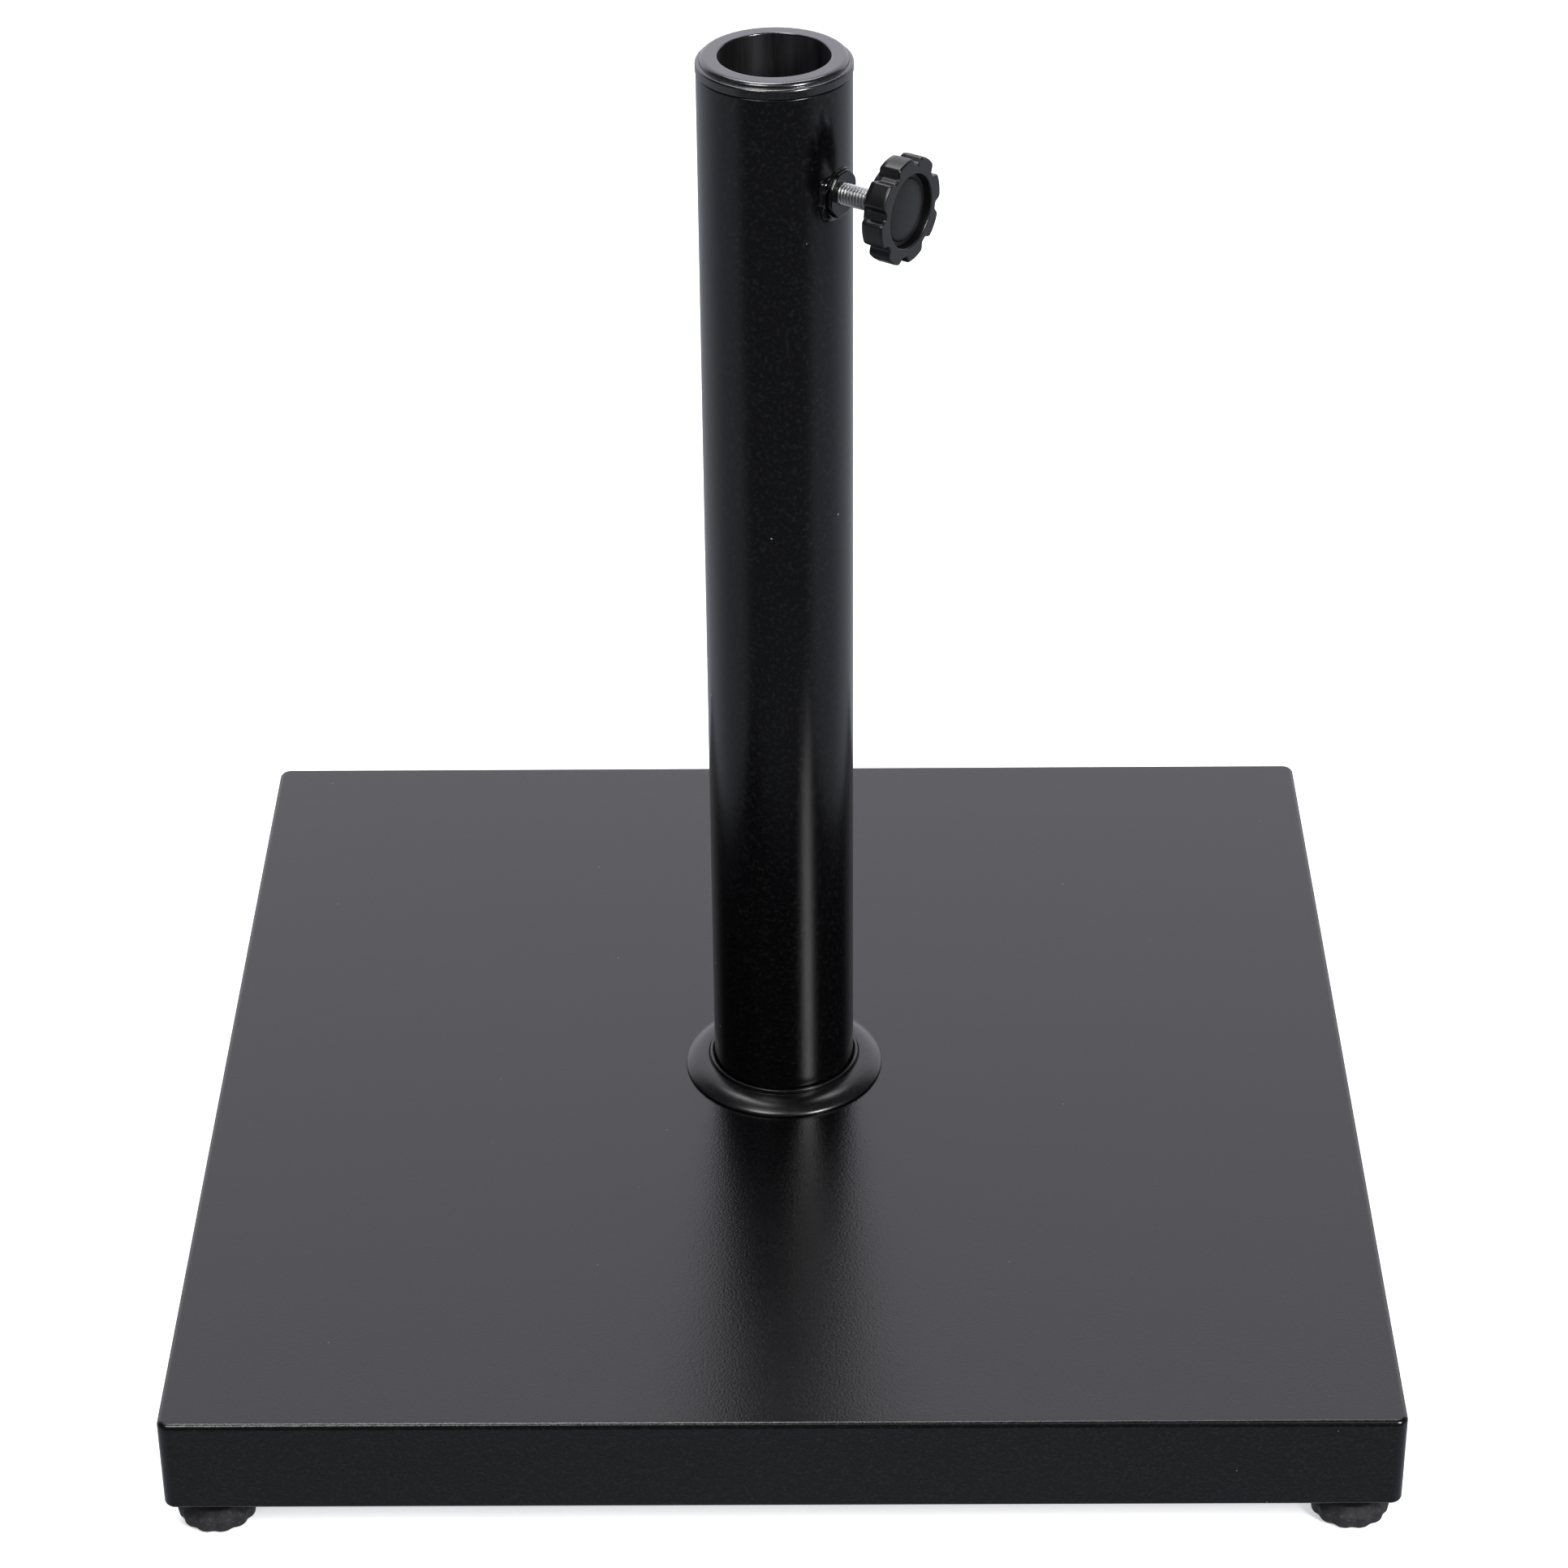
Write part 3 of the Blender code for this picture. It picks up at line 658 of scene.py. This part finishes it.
def makePoleBush():
    low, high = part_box("pole_bush")
    top, bottom = high.z, low.z
    shoulder = top - bush["headHeight"]
    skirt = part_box("post_tube")[1].x - post["wall"] - bush["skirtGap"]
    inside = skirt - bush["skirtWall"]
    web = shoulder - 1 * mm
    spread, fall = bush["crownSpread"], bush["crownFall"]
    crown = [
        (bush["crown"] - spread * (1 - math.sin(a)), top - fall * (1 - math.cos(a)), 0)
        for a in (math.pi / 2 * i / 12 for i in range(13))
    ]
    outline = [
        (bush["bore"], top, 0.7 * mm),
        *crown,
        (bush["crown"], top - bush["step"], 0.25 * mm),
        (high.x, top - bush["step"], 0.9 * mm),
        (high.x, shoulder, 0.3 * mm),
        (skirt, shoulder, 0.1 * mm),
        (skirt, bottom, 0.8 * mm),
        (inside, bottom, 0.3 * mm),
        (inside, web, 0.4 * mm),
        (bush["sleeve"], web, 0.4 * mm),
        (bush["sleeve"], bottom, 0.3 * mm),
        (bush["bore"], bottom, 0.3 * mm),
    ]

    def drawnBore(radius, height, angle):
        # the bore is a little uneven round its wall, as it came off its core
        if radius < bush["bore"] + 0.02 * mm and height < top - 1 * mm:
            wander = 0.05 * mm * math.sin(9 * angle) + 0.03 * mm * math.sin(23 * angle + 1)
            return radius + abs(wander), height
        return radius, height

    bm = lathe(rounded(outline), bush["steps"], drawnBore)
    piece = addPiece("poleBush", bm, bushBlack, "bush", ["pole_bush"])
    for i in range(bush["ribs"]):
        rib = bmesh.new()
        bmesh.ops.create_cube(rib, size=1)
        size = (inside - bush["sleeve"] + 1.4 * mm, bush["ribWidth"], web - bottom - 2.6 * mm)
        bmesh.ops.scale(rib, verts=rib.verts, vec=size)
        middle = ((inside + bush["sleeve"]) / 2, 0, (web + bottom + 3.4 * mm) / 2)
        bmesh.ops.translate(rib, verts=rib.verts, vec=middle)
        turn = Matrix.Rotation(2 * math.pi * (i + 0.5) / bush["ribs"], 4, "Z")
        cutWith(piece, rib, turn, "UNION")
    sharpen(piece)
    piece.data.materials.append(boreBlack)
    for face in piece.data.polygons:
        if face.center.xy.length < bush["bore"] + 0.1 * mm and face.center.z < top - 1 * mm:
            face.material_index = 1
    evenNormals(piece)


# clamp

nut = {"flange": 8.7 * mm, "flangeDepth": 3.6 * mm, "barrel": 6.2 * mm, "bore": 4.15 * mm}


def makeClampNut():
    start, face = alongClamp("clamp_nut")
    back = face - nut["flangeDepth"]
    outline = [
        (nut["bore"], face, 0.5 * mm),
        (nut["flange"], face, 0.8 * mm),
        (nut["flange"], back, 0.2 * mm),
        (nut["barrel"], back, 0.2 * mm),
        (nut["barrel"], start, 0.4 * mm),
        (nut["bore"], start, 0.3 * mm),
    ]

    def facets(radius, height, angle):
        # the flange is very slightly eight-sided under its paint
        if radius > nut["barrel"] + 1 * mm:
            return radius - 0.16 * mm * (1 + math.cos(8 * angle)), height
        return radius, height

    bm = lathe(rounded(outline), 96, facets)
    piece = addPiece("clampNut", bm, weldBlack, "base", ["clamp_nut"], clampPlace)
    evenNormals(piece)


weld = {"radius": 8.9 * mm, "bead": 0.5 * mm, "stations": 168, "around": 16}


def makeWeld():
    # a hand-laid weld: a thin line behind the flange, and two lumps and a run on its near side
    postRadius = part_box("post_tube")[1].x
    lumps = [(-50, 15, 1.5), (-86, 11, 1.0), (-122, 17, 1.6)]  # direction, half width, size
    bm = bmesh.new()
    rings = []
    for i in range(weld["stations"]):
        angle = 2 * math.pi * i / weld["stations"]
        outward = Vector((math.cos(angle), math.sin(angle), 0))
        heavy = max(0, -outward.y + 0.1) ** 1.5
        swell = 0
        for direction, width, size in lumps:
            off = (math.degrees(angle) - direction + 180) % 360 - 180
            swell += size * math.exp(-((off / width) ** 2))
        bead = weld["bead"] + mm * (0.3 * heavy + 0.85 * swell)
        reach = weld["radius"] + mm * (0.5 * heavy + 0.55 * swell)
        middle = outward * reach
        middle.z = math.sqrt(postRadius**2 - middle.y**2) + 0.1 * mm
        loop = []
        for k in range(weld["around"]):
            turn = 2 * math.pi * k / weld["around"]
            point = middle + bead * (outward * math.cos(turn) + Vector((0, 0, 1)) * math.sin(turn) * 0.95)
            pebble = noise.noise(point * 300) * 0.25 * mm * min(1, bead / mm)
            loop.append(bm.verts.new(point + (point - middle).normalized() * pebble))
        rings.append(loop)
    for i, loop in enumerate(rings):
        joinRings(bm, loop, rings[(i + 1) % len(rings)])
    addPiece("weldBead", bm, weldBlack, "base", ["clamp_nut_weld"], clampPlace, 80)


bolt = {
    "pitch": 1.25 * mm,
    "depth": 0.72 * mm,
    "radius": 4 * mm,
    "chamfer": 0.8 * mm,
    "runOut": 0.9 * mm,
    "collar": 6.5 * mm,
    "clampCollar": 4.9 * mm,
    "footCollar": 4 * mm,
    "hole": 4.3 * mm,  # in the plastic that is moulded round it
    "gap": 0.3 * mm,
    "rows": 14,
}


def threadRows(start, end):
    # the heights of a thread's rows
    count = round((end - start) / bolt["pitch"] * bolt["rows"])
    return [start + (end - start) * i / count for i in range(count + 1)]


def threadedShank(tip, seat, steps):
    # along Z, narrowed at its tip and full at the end that stands in the collar
    narrow, full = bolt["radius"] - bolt["chamfer"], bolt["radius"]
    start, end = min(tip, seat), max(tip, seat)
    first, last = start + bolt["runOut"], end - bolt["runOut"]
    shank = [(0, start), (narrow if tip < seat else full, start)]
    shank += [(full, z) for z in threadRows(first, last)]
    shank += [(full if tip < seat else narrow, end), (0, end)]
    return lathe(shank, steps, threadShape(bolt["pitch"], bolt["depth"], first, last))


def knurledCollar(bottom, top):
    # the round collar that is moulded into a knob or a foot, straight-knurled round its middle
    outer, rim = bolt["collar"], 0.5 * mm
    outline = [
        (0, bottom),
        (outer - rim, bottom),
        (outer, bottom + rim),
        (outer, bottom + 1.1 * mm),
        (outer, bottom + 1.3 * mm),
        (outer, top - 1.3 * mm),
        (outer, top - 1.1 * mm),
        (outer, top - rim),
        (outer - rim, top),
        (0, top),
    ]

    def knurl(radius, height, angle):
        inside = min(height - bottom, top - height) > 1.2 * mm
        groove = 0.35 * mm * (1 + math.cos(24 * angle)) / 2 if inside else 0
        return radius - groove, height

    return lathe(outline, 144, knurl)


def hexHead(bottom, top, across, steps=72):
    # a forged hexagon with its corners turned off at both faces
    outline = [
        (0, top),
        (across / 2 - 0.2 * mm, top),
        (across / 2 + 1.4 * mm, top - 0.8 * mm),
        (across / 2 + 1.4 * mm, bottom + 0.5 * mm),
        (across / 2, bottom),
        (0, bottom),
    ]

    def hexagon(radius, height, angle):
        return min(radius, hexOutline(across, angle)), height

    rows = [outline[0]]
    for first, second in zip(outline, outline[1:]):
        pieces = 6 if first[0] != second[0] and min(first[0], second[0]) > 0 else 1
        rows += [
            (first[0] + (second[0] - first[0]) * k / pieces, first[1] + (second[1] - first[1]) * k / pieces)
            for k in range(1, pieces + 1)
        ]
    return lathe(rows, steps, hexagon)


def makeClampStud():
    tip, top = alongClamp("clamp_stud")
    seat = top - bolt["clampCollar"]
    bm = threadedShank(tip, seat, 48)
    piece = addPiece(
        "clampStud", bm, threadZinc, "clamp_screw", ["clamp_stud"], clampPlace, 60
    )
    cutWith(piece, knurledCollar(seat, top), clampPlace, "UNION")
    sharpen(piece, 50)


knob = {
    "lobes": 8,
    "firstNotch": math.radians(32),
    "notchDepth": 2.5 * mm,
    "backRadius": 17.4 * mm,
    "backDisc": 1.6 * mm,
    "recessRadius": 13.4 * mm,
    "recessDepth": 3.7 * mm,
    "socket": 6.8 * mm,
    "steps": 288,
}


def lobes(angle):
    # 1 at the bottom of a notch and 0 on a lobe
    turn = (angle - knob["firstNotch"]) / (2 * math.pi) * knob["lobes"]
    away = abs(turn - round(turn))
    slope = min(1, max(0, (away - 0.07) / 0.17))
    return (1 + math.cos(math.pi * slope)) / 2


def knobOutline(radius, height, angle):
    share = min(1, max(0, (radius - 15.6 * mm) / (1.8 * mm)))
    crown = 0.10 * mm * math.cos(knob["lobes"] * (angle - knob["firstNotch"]) + math.pi)
    return radius + share * (crown - knob["notchDepth"] * lobes(angle) - 0.05 * mm), height


def makeKnob():
    back, front = alongClamp("clamp_knob")
    low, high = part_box("clamp_knob")
    radius = (high.z - low.z) / 2
    rim = back + knob["backDisc"]
    floor = front - knob["recessDepth"]
    seat = alongClamp("clamp_stud")[1] - bolt["clampCollar"] - bolt["gap"]
    outline = [
        (bolt["hole"], back, 0.2 * mm),
        (knob["backRadius"] - 1.9 * mm, back, 0.6 * mm),
        (knob["backRadius"] - 1.8 * mm, rim, 0),
        (radius - 0.4 * mm, rim, 0.8 * mm),
        (radius, rim + 2 * mm, 2.0 * mm),
        (radius, front, 0.9 * mm),
        (knob["recessRadius"], front, 0.6 * mm),
        (knob["recessRadius"] - 0.2 * mm, floor, 0.3 * mm),
        (knob["socket"], floor, 0.1 * mm),
        (knob["socket"], seat, 0.1 * mm),
        (bolt["hole"], seat, 0.1 * mm),
    ]
    bm = lathe(rounded(outline, 6), knob["steps"], knobOutline)
    piece = addPiece("knobBody", bm, knobBlack, "knob", ["clamp_knob"], clampPlace)
    evenNormals(piece)


cap = {"dome": 11.5 * mm, "rim": 13.1 * mm, "rimHeight": 0.6 * mm, "hollow": 9 * mm, "steps": 128}


def makeCap():
    front = alongClamp("clamp_knob_cap")[1]
    base = alongClamp("clamp_knob")[1] - knob["recessDepth"] + bolt["gap"]
    inner = alongClamp("clamp_stud")[1] + 0.4 * mm
    rim = base + cap["rimHeight"]
    dome = [
        (cap["dome"] * math.sin(a), rim + (front - rim) * math.cos(a))
        for a in (math.pi / 2 * i / 14 for i in range(15))
    ]
    edge = [
        (cap["dome"] + 0.3 * mm, rim - 0.15 * mm, 0),
        (cap["rim"], rim, 0.25 * mm),
        (cap["rim"], base, 0.1 * mm),
        (cap["hollow"], base, 0.1 * mm),
        (cap["hollow"], inner, 0.2 * mm),
        (0, inner, 0),
    ]
    bm = lathe(dome + rounded(edge, 4), cap["steps"])
    piece = addPiece("knobCap", bm, capBlack, "knob", ["clamp_knob_cap"], clampPlace)
    evenNormals(piece)


# feet

foot = {
    "scallops": 12,
    "scallopDepth": 0.7 * mm,
    "hub": 6.5 * mm,
    "top": 9 * mm,
    "bottom": 0.8 * mm,
    "recess": 12.6 * mm,
    "soleSeat": 1.9 * mm,
    "socket": 6.8 * mm,
    "headTop": 6.5 * mm,
    "radius": 15 * mm,
    "shoulder": 11.4 * mm,
    "floorRadius": 14.2 * mm,
    "steps": 192,
}


def footPlace(corner):
    joint = joints["foot_turn_" + corner]
    return Matrix.Translation(Vector(joint["pos_m"]))


def makeFootKnob(corner, hubTop):
    radius = foot["radius"]
    outline = [
        (bolt["hole"], hubTop, 0.2 * mm),
        (foot["hub"], hubTop, 0.5 * mm),
        (foot["hub"] + 0.2 * mm, foot["top"], 0.6 * mm),
        (foot["shoulder"], foot["top"], 0.8 * mm),
        (radius, foot["top"] - 2.8 * mm, 1.6 * mm),
        (foot["floorRadius"], foot["bottom"], 0.9 * mm),
        (foot["recess"], foot["bottom"], 0.2 * mm),
        (foot["recess"], foot["soleSeat"], 0.1 * mm),
        (foot["socket"], foot["soleSeat"], 0.1 * mm),
        (foot["socket"], foot["headTop"], 0.1 * mm),
        (bolt["hole"], foot["headTop"], 0.1 * mm),
    ]

    def scallops(r, z, angle):
        share = min(1, max(0, (r - 12.7 * mm) / (1.0 * mm)))
        wave = (1 + math.cos(foot["scallops"] * angle)) / 2
        return r - share * foot["scallopDepth"] * wave**1.6, z

    bm = lathe(rounded(outline, 5), foot["steps"], scallops)
    body, node = "foot_" + corner, "foot_knob_" + corner
    place = footPlace(corner)
    piece = addPiece("footKnob_" + corner, bm, footBlack, body, [node], place)
    evenNormals(piece)


def makeFootSole(corner):
    low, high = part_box("foot_sole_" + corner)
    radius = (high.x - low.x) / 2
    outline = [(0, high.z), (radius, high.z), (radius, 0.4 * mm), (radius - 0.4 * mm, 0)]
    for k in range(5, 0, -1):  # tread rings
        outer = radius * k / 5.6
        outline += [(outer, 0), (outer - 0.3 * mm, 0.4 * mm)]
        outline += [(outer - 0.9 * mm, 0.4 * mm), (outer - 1.2 * mm, 0)]
    outline += [(0, 0)]
    bm = lathe(outline, 96)
    body, node = "foot_" + corner, "foot_sole_" + corner
    addPiece("footSole_" + corner, bm, soleBlack, body, [node], footPlace(corner))


def makeFootStud(corner):
    low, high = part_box("foot_stud_" + corner)
    seat = low.z + bolt["footCollar"]
    bm = threadedShank(high.z, seat, 28)
    place = footPlace(corner)
    body, node = "foot_screw_" + corner, "foot_stud_" + corner
    piece = addPiece("footStud_" + corner, bm, threadZinc, body, [node], place, 60)
    cutWith(piece, knurledCollar(low.z, seat), place, "UNION")
    sharpen(piece, 50)


# centre fixing, seen from beneath

fixing = {
    "radius": 5 * mm,
    "pitch": 1.5 * mm,
    "depth": 0.8 * mm,
    "chamfer": 0.9 * mm,
    "head": 6.4 * mm,
    "across": 17 * mm,
    "washerBore": 5.2 * mm,
    "split": 0.8 * mm,
}


def makeCentreBolt():
    low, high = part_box("centre_bolt")
    full, seat = fixing["radius"], low.z + 6 * mm  # the shank starts inside the head
    rows = threadRows(seat + 1.4 * mm, high.z - fixing["chamfer"])
    shank = [(0, seat), (full, seat)] + [(full, z) for z in rows]
    shank += [(full - fixing["chamfer"], high.z), (0, high.z)]
    bm = lathe(shank, 32, threadShape(fixing["pitch"], fixing["depth"], rows[0], rows[-1]))
    piece = addPiece("centreBolt", bm, brightZinc, "base", ["centre_bolt"], None, 60)
    cutWith(piece, hexHead(low.z, low.z + fixing["head"], fixing["across"]), None, "UNION")
    sharpen(piece, 50)


def makeWasher(name, node):
    low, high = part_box(node)
    inner = fixing["washerBore"]
    outline = [
        (inner, high.z, 0.2 * mm),
        (high.x, high.z, 0.4 * mm),
        (high.x, low.z, 0.4 * mm),
        (inner, low.z, 0.2 * mm),
    ]
    piece = addPiece(name, lathe(rounded(outline, 4), 96), brightZinc, "base", [node])
    evenNormals(piece)
    return piece


def makeCentreFixing():
    makeCentreBolt()
    makeWasher("plainWasher", "centre_plain_washer")
    spring = makeWasher("springWasher", "centre_spring_washer")
    split = bmesh.new()
    bmesh.ops.create_cube(split, size=1)
    bmesh.ops.scale(split, verts=split.verts, vec=(10 * mm, fixing["split"], 8 * mm))
    low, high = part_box("centre_spring_washer")
    slant = Matrix.Translation((8 * mm, 0, (low.z + high.z) / 2)) @ Matrix.Rotation(0.5, 4, "X")
    cutWith(spring, split, slant)
    sharpen(spring)


makeSlabShell()
print("slab shell made")
makePost()
makeCoverRing()
makePoleBush()
print("post, cover ring and bush made")
makeClampNut()
makeWeld()
makeClampStud()
makeKnob()
makeCap()
print("clamp made")
for corner in corners:
    makeFootKnob(corner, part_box("foot_knob_" + corner)[1].z)
    makeFootSole(corner)
    makeFootStud(corner)
print("feet made")
makeCentreFixing()

cadFinishes = {
    "ballast_block": castConcrete,
    "underside_sheet": galvanised,
    "centre_sleeve": galvanised,
    "post_foot_disc": galvanised,
    "post_anchor_nut": brightZinc,
}
for corner in corners:
    cadFinishes["foot_insert_" + corner] = galvanised
for node, material in cadFinishes.items():
    mesh = nodes[node].data
    mesh.materials.clear()
    mesh.materials.append(material)
print("frame pieces finished")


# camera

camera = {
    "place": (0.0142, -1.4435, 1.0809),
    "pitch": math.radians(-31.848),
    "yaw": math.radians(-0.523),
    "roll": math.radians(-0.551),
    "lens": 101.01,
}


def makeCamera():
    data = bpy.data.cameras.new("camera")
    data.lens = camera["lens"]
    data.sensor_width = 36
    item = bpy.data.objects.new("camera", data)
    bpy.context.scene.collection.objects.link(item)
    pitch, yaw, roll = camera["pitch"], camera["yaw"], camera["roll"]
    level = math.cos(pitch)
    ahead = Vector((math.sin(yaw) * level, math.cos(yaw) * level, math.sin(pitch)))
    right = ahead.cross(Vector((0, 0, 1))).normalized()
    up = right.cross(ahead)
    side = math.cos(roll) * right + math.sin(roll) * up
    over = math.cos(roll) * up - math.sin(roll) * right
    turned = Matrix((side, over, -ahead)).transposed().to_4x4()
    item.matrix_world = Matrix.Translation(Vector(camera["place"])) @ turned
    bpy.context.scene.camera = item


# studio

studio = {
    "floorSize": 8.0,
    "floorTone": (0.93, 0.93, 0.94),
    "floorGlow": 0.55,
    "tint": (0.92, 0.905, 1.0),
    "groundTint": (0.85, 0.885, 1.0),
    "back": 1.55,  # behind the object, up to the ceiling
    "front": 0.10,  # overhead, and behind the camera
    "ground": 0.40,  # the pale ground that the glossy pieces mirror
    "groundBack": 0.58,  # the same, further back
    "groundFront": 0.12,  # and where it runs into the dark room in front
    "seen": 1.2,  # the least that the camera sees of the backdrop
    "softboxes": {
        # azimuth from the camera's side, elevation, distance, width, height, brightness
        "right": (41, 33, 2.6, 0.50, 0.80, 44.0),
        "left": (-34, 57, 2.6, 0.80, 0.80, 12.0),
        "top": (-14, 62, 2.4, 2.0, 0.22, 2.4),
        "above": (-152, 76, 2.4, 0.70, 0.70, 9.0),
        "behind": (180, 67, 2.4, 2.0, 0.50, 6.0),
    },
}


def makeFloor():
    bm = bmesh.new()
    bmesh.ops.create_grid(bm, x_segments=8, y_segments=8, size=studio["floorSize"] / 2)
    mesh = bpy.data.meshes.new("floor")
    bm.to_mesh(mesh)
    bm.free()
    material, tree, shader = newMaterial("paleFloor")
    place = addNode(tree, "ShaderNodeTexCoord")
    cloud = addNode(tree, "ShaderNodeTexNoise", Scale=3.0, Detail=4.0)
    tree.links.new(place.outputs["Object"], cloud.inputs["Vector"])
    tone = studio["floorTone"]
    cloudy = mixColours(tree, cloud.outputs["Fac"], tone, tuple(0.98 * c for c in tone))
    tree.links.new(cloudy, shader.inputs["Base Color"])
    shader.inputs["Roughness"].default_value = 0.9
    shader.inputs["Emission Color"].default_value = (1, 1, 1, 1)
    shader.inputs["Emission Strength"].default_value = studio["floorGlow"]
    # clear from beneath, so that the base's underside can be looked at
    side = addNode(tree, "ShaderNodeNewGeometry")
    clear = addNode(tree, "ShaderNodeBsdfTransparent")
    either = addNode(tree, "ShaderNodeMixShader")
    tree.links.new(side.outputs["Backfacing"], either.inputs[0])
    tree.links.new(shader.outputs[0], either.inputs[1])
    tree.links.new(clear.outputs[0], either.inputs[2])
    tree.links.new(either.outputs[0], tree.nodes["Material Output"].inputs["Surface"])
    mesh.materials.append(material)
    floor = bpy.data.objects.new("floor", mesh)
    bpy.context.scene.collection.objects.link(floor)
    floor.visible_glossy = False


def makeWorld():
    # a pale backdrop that darkens overhead and towards the front, over pale ground
    world = bpy.data.worlds.new("studio")
    bpy.context.scene.world = world
    world.use_nodes = True
    tree = world.node_tree
    background = tree.nodes["Background"]
    place = addNode(tree, "ShaderNodeTexCoord")
    parts = addNode(tree, "ShaderNodeSeparateXYZ")
    tree.links.new(place.outputs["Generated"], parts.inputs[0])
    back, height = parts.outputs["Y"], parts.outputs["Z"]
    behind = ramp(tree, back, 0.35, 0.72, studio["front"], studio["back"])
    ceiling = ramp(tree, height, 0.62, 0.95, 1.0, 0.10)
    above = combine(tree, "MULTIPLY", behind, ceiling)
    inFront = ramp(tree, back, -0.68, -0.42, 1.0, 0.0)
    shallow = ramp(tree, height, -0.62, -0.55, 0.0, 1.0)
    darkGround = combine(tree, "MULTIPLY", inFront, shallow)
    ground = addNode(tree, "ShaderNodeMix", data_type="FLOAT")
    ground.inputs["B"].default_value = studio["groundFront"]
    tree.links.new(darkGround, ground.inputs[0])
    tree.links.new(ramp(tree, back, -0.1, 0.5, studio["ground"], studio["groundBack"]), ground.inputs["A"])
    over = ramp(tree, height, -0.10, 0.02, 0.0, 1.0)
    level = addNode(tree, "ShaderNodeMix", data_type="FLOAT")
    tree.links.new(over, level.inputs[0])
    tree.links.new(ground.outputs["Result"], level.inputs["A"])
    tree.links.new(above, level.inputs["B"])
    sight = addNode(tree, "ShaderNodeLightPath")
    seen = combine(tree, "MULTIPLY", sight.outputs["Is Camera Ray"], studio["seen"])
    strength = combine(tree, "MAXIMUM", seen, level.outputs["Result"])
    tree.links.new(strength, background.inputs["Strength"])
    tree.links.new(mixColours(tree, over, studio["groundTint"], studio["tint"]), background.inputs["Color"])


def makeSoftboxes():
    target = Vector((0, 0, 0.2))
    for name, (azimuth, elevation, distance, width, height, brightness) in studio["softboxes"].items():
        a, e = math.radians(azimuth), math.radians(elevation)
        aim = Vector((math.sin(a) * math.cos(e), -math.cos(a) * math.cos(e), math.sin(e)))
        data = bpy.data.lights.new("softbox_" + name, "AREA")
        data.shape = "RECTANGLE"
        data.size = width
        data.size_y = height
        data.energy = brightness * math.pi * width * height
        item = bpy.data.objects.new("softbox_" + name, data)
        bpy.context.scene.collection.objects.link(item)
        item.location = target + aim * distance
        item.rotation_euler = aim.to_track_quat("Z", "Y").to_euler()


makeCamera()
makeFloor()
makeWorld()
makeSoftboxes()
bpy.context.scene.view_settings.view_transform = "Standard"
print("studio ready")
